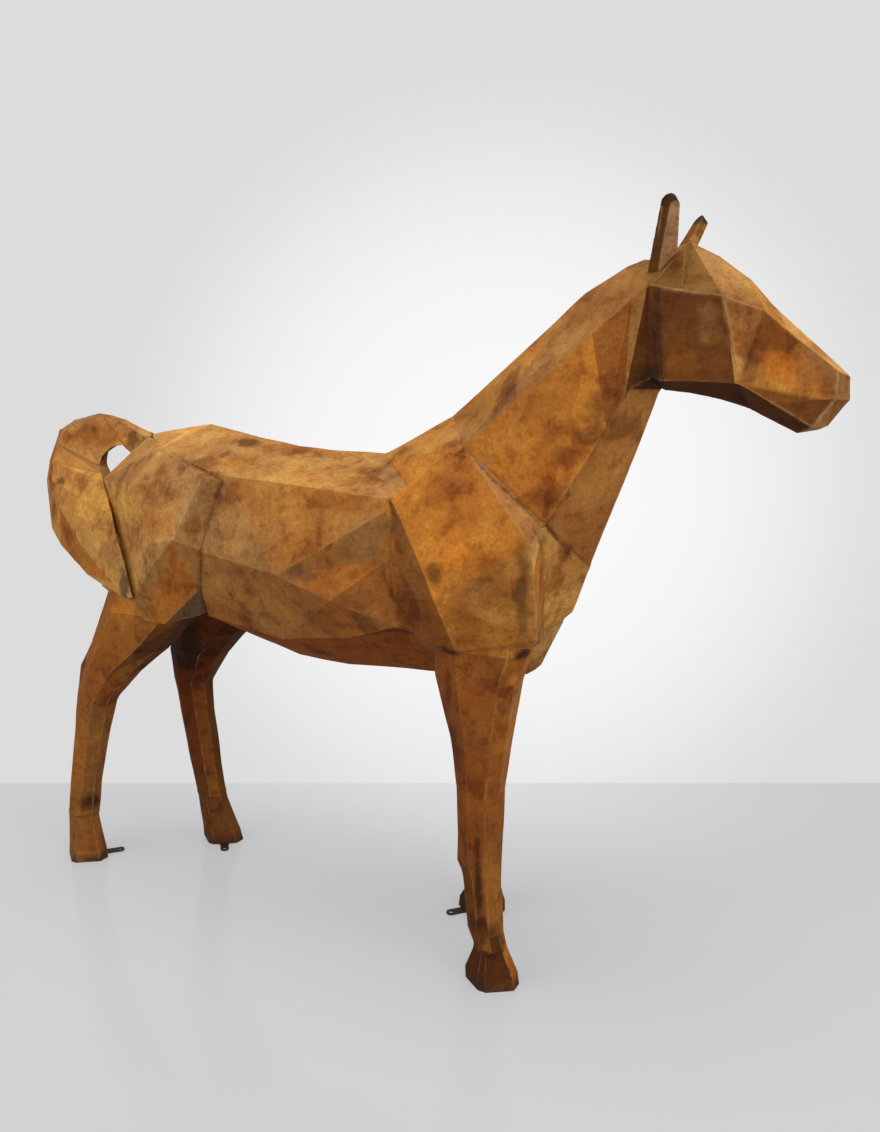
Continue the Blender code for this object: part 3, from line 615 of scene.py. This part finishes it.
def hollowed(outline, corners, counts, area):
    """The outline with each straight side bent inwards by a hair, so no triangle lies on a side."""
    runs = np.roll(corners, -1, axis=0) - corners
    headings = runs / np.linalg.norm(runs, axis=1)[:, None]
    total = len(headings)
    bends = bends_of(headings)
    starts = np.concatenate([[0], np.cumsum(counts)])
    outline = outline.copy()
    for place, bend in enumerate(bends):
        sides = (bends[(place + 1) % len(bends)] - bend - 1) % total + 1
        members = [(bend + step) % total for step in range(sides)]
        spots = np.concatenate([np.arange(starts[i], starts[i + 1]) for i in members])
        number = len(spots)
        along = np.arange(number)
        length = sum(np.linalg.norm(runs[i]) for i in members)
        hair = min(HAIR * number * number / 8, HAIR_SHARE * area / length)
        inward = np.array((-headings[bend][1], headings[bend][0]))
        outline[spots] += inward * (4 * hair * along * (number - along) / number ** 2)[:, None]
    return outline


def side_at(point, side):
    """The side of a triangle: smaller on the head."""
    return side * FINE_SHARE if point.x > FINE_FROM[0] and point.z > FINE_FROM[1] else side


def edge_rows(bm, points, side):
    """Cuts the edges up, adding to points: each edge's row of points, and the crisp pairs."""
    rows, crisp = {}, set()
    for edge in bm.edges:
        start, end = edge.verts[0].co, edge.verts[1].co
        parts = max(1, round((end - start).length / side_at((start + end) / 2, side)))
        added = range(len(points), len(points) + parts - 1)
        row = [edge.verts[0].index, *added, edge.verts[1].index]
        points += [start.lerp(end, part / parts) for part in range(1, parts)]
        rows[edge.index] = row
        angle = edge.calc_face_angle(0.0)
        if angle > CRISP_ANGLE and (edge.is_convex or angle < FOLD_ANGLE):
            crisp.update(tuple(sorted(pair)) for pair in zip(row, row[1:]))
    return rows, crisp


def cut_face(face, rows, points, side):
    """The small triangles of one flat face. Its inner points are added to points."""
    right = max(face.edges, key=lambda edge: edge.calc_length())
    right = (right.verts[1].co - right.verts[0].co).normalized()
    up = face.normal.cross(right)
    level = face.calc_center_median().dot(face.normal)
    rim, counts = [], []
    for loop in face.loops:
        row = rows[loop.edge.index]
        rim += row[:-1] if row[0] == loop.vert.index else row[:0:-1]
        counts.append(len(row) - 1)
    axes = np.array((right, up)).T
    middle = np.array(face.calc_center_median()) @ axes
    corners = np.array([vertex.co for vertex in face.verts]) @ axes - middle
    outline = np.array([points[i] for i in rim]) @ axes - middle
    outline = hollowed(outline, corners, counts, face.calc_area())
    folded = [loop.edge.calc_face_angle(0.0) > FOLD_ANGLE for loop in face.loops]
    inner = filling(corners, folded, side_at(face.calc_center_median(), side))
    flat = [Vector(spot) for spot in (*outline, *inner)]
    ring = [list(range(len(rim)))]
    cut = delaunay_2d_cdt(flat, [], ring, CUT_KIND, CUT_TOLERANCE, True)
    spots, faces, origins = cut[0], cut[2], cut[3]
    names = []
    for spot, origin in zip(spots, origins):
        if origin and min(origin) < len(rim):
            names.append(rim[min(origin)])
        else:
            names.append(len(points))
            across, along = spot[0] + middle[0], spot[1] + middle[1]
            points.append(right * across + up * along + face.normal * level)
    # The cut can also fill hollows outside the outline, so triangles there are left out
    triangles = []
    middles = np.array(spots)[np.array(faces)].mean(axis=1)
    for corner, depth in zip(faces, depths(middles, outline)):
        first, second, third = (points[names[i]] for i in corner)
        run, rise = second - first, third - first
        if depth > 0 and run.cross(rise).length > SLIVER * max(run.length, rise.length):
            triangles.append([names[i] for i in corner])
    return triangles


def folded_skin(bm, side):
    """The body's flat faces cut into small triangles, and the CAD face each of them lies on."""
    points = [vertex.co.copy() for vertex in bm.verts]
    rows, crisp = edge_rows(bm, points, side)
    triangles, lies_on = [], []
    for face in bm.faces:
        cut = cut_face(face, rows, points, side)
        triangles += cut
        lies_on += [face.index] * len(cut)
    mesh = bpy.data.meshes.new("skin")
    mesh.from_pydata(points, [], triangles)
    for edge in mesh.edges:
        edge.use_edge_sharp = tuple(sorted(edge.vertices)) in crisp
    return mesh, np.array(lies_on)


def waves(points, length, seed):
    """A smooth random field between about -1 and 1 with waves of roughly that length."""
    rng = np.random.RandomState(seed)
    field = np.zeros(len(points))
    for _ in range(WAVE_COUNT):
        heading = rng.normal(size=3)
        heading *= 2 * math.pi / length * rng.uniform(*WAVE_SPREAD) / np.linalg.norm(heading)
        field += np.sin(points @ heading + rng.uniform(0, 2 * math.pi))
    return field / math.sqrt(WAVE_COUNT / 2) / WAVE_LEVEL


class Folds:
    """The folds and creases of one CAD body, sampled as points with a strength from 0 to 1."""

    def __init__(self, bm):
        self.ridge = self.sampled(bm, convex=True)
        self.crease = self.sampled(bm, convex=False)

    @staticmethod
    def sampled(bm, convex):
        """A tree of points along the convex or the hollow folds, and the strength at each."""
        spots = []
        for edge in bm.edges:
            if len(edge.link_faces) != 2 or edge.is_convex != convex:
                continue
            angle = edge.calc_face_angle(0.0)
            if angle < FOLD_ANGLE:
                continue
            strength = min(1.0, (angle - FOLD_ANGLE * 0.5) / SHARP_ANGLE)
            start, end = edge.verts[0].co, edge.verts[1].co
            steps = max(1, int((end - start).length / FOLD_STEP))
            spots += [(start.lerp(end, i / steps), strength) for i in range(steps + 1)]
        tree = KDTree(len(spots))
        for index, (spot, _) in enumerate(spots):
            tree.insert(spot, index)
        tree.balance()
        return tree, [strength for _, strength in spots]

    @staticmethod
    def near(sampled, points, reach):
        """How close each point is to a fold, 1 on it and 0 at reach, times the fold's strength."""
        tree, strengths = sampled
        closeness = np.zeros(len(points))
        if not strengths:
            return closeness
        for row, point in enumerate(points):
            _, index, distance = tree.find(point)
            if distance < reach:
                closeness[row] = (1 - distance / reach) * strengths[index]
        return closeness


def closeness_to(tree, points, reach):
    """1 where a point touches the tree's surface, down to 0 at reach."""
    result = np.zeros(len(points))
    for row, point in enumerate(points):
        found = tree.find_nearest(point, reach)
        if found[0] is not None:
            result[row] = 1 - found[3] / reach
    return result


def plate_numbers(bm):
    """Numbers the flat plates of a CAD body: neighbours in nearly one plane share a number."""
    number = [-1] * len(bm.faces)
    plates = 0
    for seed in sorted(bm.faces, key=lambda face: -face.calc_area()):
        if number[seed.index] >= 0:
            continue
        number[seed.index] = plates
        facing = seed.normal * seed.calc_area()
        waiting = [seed]
        while waiting:
            face = waiting.pop()
            for edge in face.edges:
                for other in edge.link_faces:
                    turned = other.normal.angle(facing, NO_ANGLE)
                    if number[other.index] < 0 and turned < PLATE_ANGLE:
                        number[other.index] = plates
                        facing = facing + other.normal * other.calc_area()
                        waiting.append(other)
        plates += 1
    return number, plates


def mirrored(point, side):
    """The point on the side given: -1 right, +1 left."""
    return Vector((point[0], abs(point[1]) * side, point[2]))


def seeded_colours(body, number, plates):
    """The colours of the plates that have a point in the table, by plate number."""
    colours, gaps = {}, np.full(plates, PLATE_REACH)
    for point, colour in PLATES[body.name]:
        for hand in (-1, 1):
            found = body.tree.find_nearest(mirrored(point, hand), PLATE_REACH)
            if found[0] is not None and found[3] <= gaps[number[found[2]]] + PLATE_TIE:
                colours[number[found[2]]] = colour
                gaps[number[found[2]]] = found[3]
    return colours


def plate_tints(body):
    """The rust colour of each face of a CAD body. A bare plate takes that of the likest plate."""
    number, plates = plate_numbers(body.bm)
    area = np.zeros(plates)
    middle = np.zeros((plates, 3))
    facing = np.zeros((plates, 3))
    for face in body.bm.faces:
        plate, size = number[face.index], face.calc_area()
        area[plate] += size
        middle[plate] += size * np.array(face.calc_center_median())
        facing[plate] += size * np.array(face.normal)
    side = np.sign(middle[:, 1:2]) * (0, 1, 0) + (1, 0, 1)
    middle = side * middle / area[:, None]
    facing = side * facing / np.linalg.norm(facing, axis=1)[:, None]
    likeness = np.hstack([middle, FACING_WEIGHT * facing])
    colours = seeded_colours(body, number, plates)
    seeded = sorted(colours)
    shade = np.random.RandomState(SHADE_SEED).uniform(*SHADE_SWING, plates)
    tints = np.zeros((plates, 3))
    for plate in range(plates):
        if plate in colours:
            tints[plate] = colours[plate]
        elif body.name in EDGED:
            tints[plate] = EDGE_COLOUR
        else:
            gap = np.linalg.norm(likeness[seeded] - likeness[plate], axis=1)
            tints[plate] = shade[plate] * np.array(colours[seeded[int(np.argmin(gap))]])
    return tints[np.array(number)]


def away_from(points, corners):
    """How far each point is from a line through the corners."""
    nearest = np.full(len(points), FAR)
    for start, end in zip(corners, corners[1:]):
        nearest = np.minimum(nearest, gaps_to(points, np.array(start), np.array(end)))
    return nearest


def covered(tint, colour, cover):
    """The tint with a colour laid over it."""
    cover = cover[:, None]
    return tint * (1 - cover) + np.array(colour) * cover


def inside(points, facings, corners):
    """1 well inside a panel's corners on a flat side, 0 outside, with a soft edge."""
    flat = points[:, (0, 2)]
    corners = np.array(corners)
    following = np.roll(corners, -1, axis=0)
    turn = np.sign(np.sum(corners[:, 0] * following[:, 1] - following[:, 0] * corners[:, 1]))
    depth = np.full(len(points), FAR)
    for start, end in zip(corners, following):
        run = (end - start) / np.linalg.norm(end - start)
        away = run[0] * (flat[:, 1] - start[1]) - run[1] * (flat[:, 0] - start[0])
        depth = np.minimum(depth, turn * away)
    return np.clip(depth / PANEL_EDGE + 0.5, 0, 1) * (np.abs(facings[:, 1]) > PANEL_FACING)


def with_patches(tint, body, points, at):
    """The tint of each corner with the body's ragged patches laid over it."""
    ragged = sum(swing * waves(points, length, seed) for swing, length, seed in RAGGED)
    for middle, half, colour, strength in PATCHES[body.name]:
        sides = ((-1, 1.0),) if middle[1] > 0 else ((1, 1.0), (-1, FAR_SIDE_STRENGTH))
        for side, share in sides:
            centre = np.array((middle[0], -abs(middle[1]), middle[2]))
            away = np.linalg.norm((points * (1, side, 1) - centre) / np.array(half), axis=1)
            cover = np.clip((PATCH_RIM - away + ragged) / PATCH_FADE, 0, 1)
            tint = covered(tint, colour, cover[at] * strength * share)
    return tint


def with_lines(tint, body, points, at):
    """The tint of each corner with the body's broken lines laid over it."""
    mean, swing, length, seed = BROKEN
    broken = np.clip(mean + swing * waves(points, length, seed), 0, 1)
    folded = np.abs(points * (0, 1, 0)) + points * (1, 0, 1)
    for corners, reach, colour, strength in LINES.get(body.name, ()):
        cover = np.clip(LINE_CORE * (1 - away_from(folded, corners) / reach), 0, 1)
        tint = covered(tint, colour, (cover * strength * broken)[at])
    return tint


def marks_of(body, points):
    """Worn folds with painted highlight, dark seams and the darkening low on the hooves at each
    point, from 0 to 1.
    """
    ridge = Folds.near(body.folds.ridge, points, WEAR_AND_HIGHLIGHT_REACH)
    seam = Folds.near(body.folds.crease, points, SEAM_REACH)
    for tree in body.neighbours:
        seam = np.maximum(seam, closeness_to(tree, points, CONTACT_REACH))
    hoof = np.clip((HOOF_TOP + HOOF_FADE - points[:, 2]) / HOOF_FADE, 0, 1)
    return np.stack([ridge, seam, hoof, np.ones(len(points))], axis=1)


def painted(mesh, body, lies_on):
    """Adds the two colour layers to a finished skin: one per corner, one per point."""
    points = points_of(mesh)
    at = np.zeros(len(mesh.loops), np.int32)
    mesh.loops.foreach_get("vertex_index", at)
    totals = np.zeros(len(mesh.polygons), np.int32)
    mesh.polygons.foreach_get("loop_total", totals)
    face_of = np.repeat(np.arange(len(totals)), totals)
    if lies_on is None:
        lies_on = np.array([body.tree.find_nearest(face.center)[2] for face in mesh.polygons])
    tint = plate_tints(body)[lies_on][face_of]
    facings = np.array([body.bm.faces[index].normal for index in lies_on])[face_of]
    # facets painted on a flat side in their light and shade
    for corners, colour, strength in FACET_LIGHT_AND_SHADE_PANELS.get(body.name, ()):
        tint = covered(tint, colour, inside(points[at], facings, corners) * strength)
    tint = with_patches(tint, body, points, at)
    tint = with_lines(tint, body, points, at)
    tint = np.concatenate([tint, np.ones((len(tint), 1))], axis=1)
    marks = marks_of(body, points)
    for name, layer, domain in (("tint", tint, "CORNER"), ("marks", marks, "POINT")):
        attribute = mesh.color_attributes.new(name, "FLOAT_COLOR", domain)
        attribute.data.foreach_set("color", layer.astype(np.float32).ravel())


class Body:
    """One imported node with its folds, its surface and the surfaces beside it."""

    def __init__(self, name):
        self.name = name
        self.bm = welded(name)
        self.tree = BVHTree.FromBMesh(self.bm)
        self.folds = Folds(self.bm)
        self.neighbours = []
        self.fillets = []
        self.low, self.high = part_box(name)


def softened(body):
    """The body rebuilt from voxels and smoothed, and its points."""
    coarse = bpy.data.meshes.new(body.name + "_coarse")
    body.bm.to_mesh(coarse)
    fine = remeshed(coarse, ROUNDED[body.name])
    points = averaged(fine, points_of(fine), SMOOTHING_ROUNDS, SMOOTHING_SHARE)
    set_points(fine, points)
    return fine, points


def relief(body, points):
    """How far each point of a skin is lifted off the CAD surface."""
    lift = np.zeros(len(points))
    scale = min(1.0, (body.high - body.low).length / FULL_BUCKLE_SIZE)
    for seed, (height, length) in enumerate(BUCKLES, FIRST_BUCKLE_SEED):
        lift += height * scale * waves(points, length, seed)
    if body.name in FOLDED:
        bead = Folds.near(body.folds.crease, points, BEAD_REACH)
        mean, swing, length, seed = BEAD_RIPPLE
        lift += BEAD_HEIGHT * np.sqrt(bead) * (mean + swing * waves(points, length, seed))
    for tree in body.fillets:
        lift += FILLET_HEIGHT * closeness_to(tree, points, FILLET_REACH) ** FILLET_CURVE
    return lift


def skinned(body, material):
    """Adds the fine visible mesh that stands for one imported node."""
    if body.name in FOLDED:
        fine, lies_on = folded_skin(body.bm, FOLDED[body.name])
        points = points_of(fine)
    else:
        fine, points = softened(body)
        lies_on = None
    points = points + vectors_of(fine.vertex_normals, "vector") * relief(body, points)[:, None]
    set_points(fine, np.clip(points, np.array(body.low), np.array(body.high)))
    fine.polygons.foreach_set("use_smooth", [True] * len(fine.polygons))
    if body.name in PLATES:
        painted(fine, body, lies_on)
    fine.materials.clear()
    fine.materials.append(material)
    piece = bpy.data.objects.new(body.name + "_skin", fine)
    bpy.context.scene.collection.objects.link(piece)
    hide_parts(body.name)
    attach(piece, "root")


class Nodes:
    """Adds nodes to a tree: each call wires the inputs of a node and returns an output."""

    def __init__(self, tree):
        self.tree = tree

    def wire(self, value, socket):
        """Gives a socket its value, or links another node's output to it."""
        if isinstance(value, bpy.types.NodeSocket):
            self.tree.links.new(value, socket)
        else:
            socket.default_value = value

    def add(self, kind, output, inputs, **settings):
        """Any node, with its inputs by name or number."""
        node = self.tree.nodes.new("ShaderNode" + kind)
        for key, value in settings.items():
            setattr(node, key, value)
        for key, value in inputs.items():
            self.wire(value, node.inputs[key])
        return node.outputs[output]

    def noise(self, where, *settings):
        """A noise field: scale, detail, roughness and distortion."""
        names = ("Scale", "Detail", "Roughness", "Distortion")
        return self.add("TexNoise", "Fac", {"Vector": where, **dict(zip(names, settings))})

    def step(self, value, low, high, bottom=0.0, top=1.0, kind="SMOOTHSTEP"):
        """Smoothly from bottom to top as value goes from low to high."""
        inputs = {"Value": value, "From Min": low, "From Max": high}
        inputs.update({"To Min": bottom, "To Max": top})
        return self.add("MapRange", "Result", inputs, interpolation_type=kind)

    def times(self, first, second):
        return self.add("Math", 0, {0: first, 1: second}, operation="MULTIPLY")

    def plus(self, first, second):
        """The sum, kept between 0 and 1."""
        return self.add("Math", 0, {0: first, 1: second}, operation="ADD", use_clamp=True)

    def mix(self, share, below, above, blend="MIX"):
        """The colour above laid over the one below by that share."""
        inputs = {0: share, 6: below, 7: above}
        for key, value in inputs.items():
            if isinstance(value, tuple):
                inputs[key] = (*value, 1.0)
        return self.add("Mix", 2, inputs, data_type="RGBA", blend_type=blend)

    def tone(self, share, colour, shade):
        """The colour multiplied by a shade, by that share."""
        return self.mix(share, colour, shade, "MULTIPLY")


class Shader(Nodes):
    """Builds one node material."""

    def __init__(self, name):
        self.material = bpy.data.materials.new(name)
        self.material.use_nodes = True
        super().__init__(self.material.node_tree)

    def finish(self, **sockets):
        """The material, with the surface's sockets set. An underscore stands for a space."""
        surface = self.tree.nodes["Principled BSDF"]
        for key, value in sockets.items():
            self.wire(value, surface.inputs[key.replace("_", " ")])
        return self.material


def rusted_steel():
    """Weathering steel: plate colour, mottled rust, flecks, worn folds with painted highlight,
    seams and soles darker towards the bottom.
    """
    s = Shader("weathering_steel")
    where = s.add("TexCoord", "Object", {})
    tint = s.add("VertexColor", "Color", {}, layer_name="tint")
    marks = s.add("VertexColor", "Color", {}, layer_name="marks")
    ridge, seam, hoof = s.add("SeparateColor", 0, {0: marks}).node.outputs[:3]

    fields = {name: s.noise(where, *settings) for name, settings in FIELDS.items()}
    runs = s.add("Mapping", "Vector", {"Vector": where, "Scale": STREAK_SCALE})
    fields["streak"] = s.noise(runs, 1.0, 4, 0.6, 0.0)
    blotch, smear, spot = fields["blotch"], fields["smear"], fields["spot"]
    grain, speck = fields["grain"], fields["speck"]

    colour = tint
    for field, start, full, strength, shade in TONES:
        colour = s.tone(s.step(fields[field], start, full, 0.0, strength), colour, shade)
    light = [s.step(grain, 0.30, 0.70, 1 - swing, 1 + swing) for swing in GRAIN_SWING]
    light = s.add("CombineColor", 0, dict(enumerate(light)))
    colour = s.tone(1.0, colour, light)
    fleck = s.times(s.step(speck, 0.64, 0.72), s.step(spot, 0.40, 0.60, 0.15, 0.75))
    colour = s.tone(fleck, colour, FLECK_TONE)
    # worn folds, lightened also as a painted highlight along the ridges
    wear_and_highlight = s.times(s.step(ridge, 0.25, 0.95), s.step(smear, 0.44, 0.60, 0.02, 0.34))
    colour = s.mix(wear_and_highlight, colour, WEAR_AND_HIGHLIGHT_COLOUR)
    dirt = s.times(s.step(seam, 0.15, 0.90), s.step(spot, 0.66, 0.36, 0.15, 0.60))
    colour = s.tone(dirt, colour, DIRT_TONE)
    sole = s.times(hoof, s.step(spot, 0.66, 0.40, 0.40, 0.92))
    colour = s.mix(sole, colour, SOLE_COLOUR)

    rough = s.step(blotch, 0.35, 0.65, 0.72, 0.90)
    rough = s.plus(rough, s.step(grain, 0.3, 0.7, -0.04, 0.05))
    height = s.plus(s.times(grain, 0.35), s.times(spot, 0.65))
    bump = s.add("Bump", "Normal", {"Strength": 0.30, "Distance": 0.0014, "Height": height})
    return s.finish(Base_Color=colour, Roughness=rough, Normal=bump, Specular_IOR_Level=0.12)


def dark_steel():
    """Blackened steel of the anchor tabs, with a trace of rust."""
    s = Shader("anchor_steel")
    where = s.add("TexCoord", "Object", {})
    patch = s.noise(where, 70.0, 6, 0.65, 0.0)
    grain = s.noise(where, 420.0, 4, 0.65, 0.0)
    colour = s.mix(s.step(patch, 0.45, 0.66), (0.022, 0.020, 0.019), (0.085, 0.040, 0.020))
    colour = s.mix(s.step(grain, 0.50, 0.72, 0.0, 0.5), colour, (0.12, 0.10, 0.085))
    rough = s.step(patch, 0.35, 0.65, 0.42, 0.70)
    bump = s.add("Bump", "Normal", {"Strength": 0.4, "Distance": 0.0005, "Height": grain})
    return s.finish(Base_Color=colour, Roughness=rough, Normal=bump, Metallic=0.35)


# --- Studio -------------------------------------------------------------------------------------
CAMERA_AT = (1.4955, -2.375, 1.60)
CAMERA_TURN = math.radians(28.0)
CAMERA_DIP = 9.91
LENS = 30.21
SENSOR_WIDTH = 36.0
# How far the floor reaches ahead of, behind and beside the camera
FLOOR_BACK = 3.81
FLOOR_FRONT = 6.0
FLOOR_HALF_WIDTH = 9.0
FLOOR_COLOUR = (0.36, 0.362, 0.366, 1.0)
# Painted light the floor gives off by itself: this at its rim, this towards the middle of its far
# edge, over these spreads
FLOOR_TONE = (0.300, 0.302, 0.306)
FLOOR_GLOW = (0.430, 0.432, 0.436)
GLOW_ALONG, GLOW_ASIDE = 1.1, 1.9
# Name, place, point it aims at, size, power, colour
LAMPS = (
    ("key", (0.2, -0.8, 4.8), (0.0, 0.0, 1.0), 3.6, 104.0, (1.0, 0.985, 0.96)),
    ("side", (-3.0, -3.2, 2.6), (0.0, 0.0, 1.0), 3.0, 39.0, (1.0, 0.995, 0.98)),
    ("front", (4.2, -1.6, 1.7), (0.6, 0.0, 1.3), 2.6, 54.0, (1.0, 0.995, 0.98)),
)
BACKDROP_EDGE, BACKDROP_GLOW = 0.715, 0.945
BACKDROP_AIM = (0.47, -0.10, 1.38)
BACKDROP_SPREAD = math.cos(math.radians(24.0))
# The light from around: from below up to above the horizon
HORIZON = (-0.35, 0.15)
SKY_LIGHT, GROUND_LIGHT = 0.50, 0.37
SKY_COLOUR = (0.90, 0.91, 0.93, 1.0)


def add_camera():
    """The camera at the photograph's angle."""
    camera = bpy.data.objects.new("camera", bpy.data.cameras.new("camera"))
    camera.location = CAMERA_AT
    camera.rotation_euler = (math.radians(90 - CAMERA_DIP), 0, CAMERA_TURN)
    camera.data.lens = LENS
    camera.data.sensor_width = SENSOR_WIDTH
    bpy.context.scene.collection.objects.link(camera)
    bpy.context.scene.camera = camera


def add_floor():
    """A pale satin floor that gives off painted light, brighter in the middle of its far edge."""
    ahead = Vector((-math.sin(CAMERA_TURN), math.cos(CAMERA_TURN), 0))
    aside = Vector((math.cos(CAMERA_TURN), math.sin(CAMERA_TURN), 0))
    stand = Vector((CAMERA_AT[0], CAMERA_AT[1], 0))
    behind, back = stand - ahead * FLOOR_FRONT, stand + ahead * FLOOR_BACK
    half = aside * FLOOR_HALF_WIDTH
    corners = (behind - half, behind + half, back + half, back - half)
    mesh = bpy.data.meshes.new("floor")
    mesh.from_pydata([tuple(corner) for corner in corners], [], [(0, 1, 2, 3)])
    floor = bpy.data.objects.new("floor", mesh)
    bpy.context.scene.collection.objects.link(floor)
    paint = Shader("floor")
    spread = {
        "Vector": paint.add("TexCoord", "Object", {}),
        "Location": tuple(back),
        "Rotation": (0.0, 0.0, CAMERA_TURN),
        "Scale": (GLOW_ASIDE, GLOW_ALONG, 1.0),
    }
    near = paint.add("Mapping", "Vector", spread, vector_type="TEXTURE")
    glow = paint.add("TexGradient", "Fac", {"Vector": near}, gradient_type="SPHERICAL")
    floor_painted_glow = paint.mix(paint.step(glow, 0.0, 1.0), FLOOR_TONE, FLOOR_GLOW)
    mesh.materials.append(
        paint.finish(
            Base_Color=FLOOR_COLOUR,
            Roughness=0.12,
            Specular_IOR_Level=0.30,
            Emission_Color=floor_painted_glow,
            Emission_Strength=1.0,
        )
    )
    floor.visible_diffuse = False


def add_lamps():
    """Soft light from above and from both sides."""
    for name, place, target, size, power, colour in LAMPS:
        light = bpy.data.lights.new(name, "AREA")
        light.size = size
        light.energy = power
        light.color = colour
        lamp = bpy.data.objects.new(name, light)
        lamp.location = place
        lamp.rotation_euler = (Vector(target) - Vector(place)).to_track_quat("-Z", "Y").to_euler()
        bpy.context.scene.collection.objects.link(lamp)


def add_surround():
    """A pale surround that lights the work, and a glow behind it that only the camera sees."""
    world = bpy.data.worlds.new("studio")
    bpy.context.scene.world = world
    world.use_nodes = True
    w = Nodes(world.node_tree)
    heading = w.add("TexCoord", "Generated", {})
    height = w.add("SeparateXYZ", "Z", {0: heading})
    sky = w.step(height, *HORIZON, GROUND_LIGHT, SKY_LIGHT, "LINEAR")
    background = w.tree.nodes["Background"]
    w.wire(SKY_COLOUR, background.inputs["Color"])
    w.wire(sky, background.inputs["Strength"])
    aim = (Vector(BACKDROP_AIM) - Vector(CAMERA_AT)).normalized()
    close = w.add("VectorMath", "Value", {0: heading, 1: aim}, operation="DOT_PRODUCT")
    glow = w.step(close, BACKDROP_SPREAD, 1.0, BACKDROP_EDGE, BACKDROP_GLOW)
    backdrop = w.add("Background", 0, {"Color": (1.0, 1.0, 1.0, 1.0), "Strength": glow})
    seen = w.add("LightPath", "Is Camera Ray", {})
    pick = w.add("MixShader", 0, {0: seen, 1: background.outputs[0], 2: backdrop})
    w.wire(pick, w.tree.nodes["World Output"].inputs["Surface"])


def studio():
    """Camera, pale floor, soft lamps and a pale surround, shown in plain colours."""
    add_camera()
    add_floor()
    add_lamps()
    add_surround()
    bpy.context.scene.view_settings.view_transform = "Standard"
    bpy.context.scene.view_settings.look = "None"


def main():
    bodies = {name: Body(name) for name in (*FOLDED, *ROUNDED)}
    horse = bodies["horse"]
    for name, body in bodies.items():
        if name != "horse":
            body.neighbours = [horse.tree]
            horse.neighbours.append(body.tree)
    horse.fillets = [body.tree for name, body in bodies.items() if name not in ("horse", "tail")]
    steel, anchor = rusted_steel(), dark_steel()
    for name, body in bodies.items():
        if name.startswith("anchor"):
            skinned(body, anchor)
        else:
            skinned(body, steel)
    studio()


main()
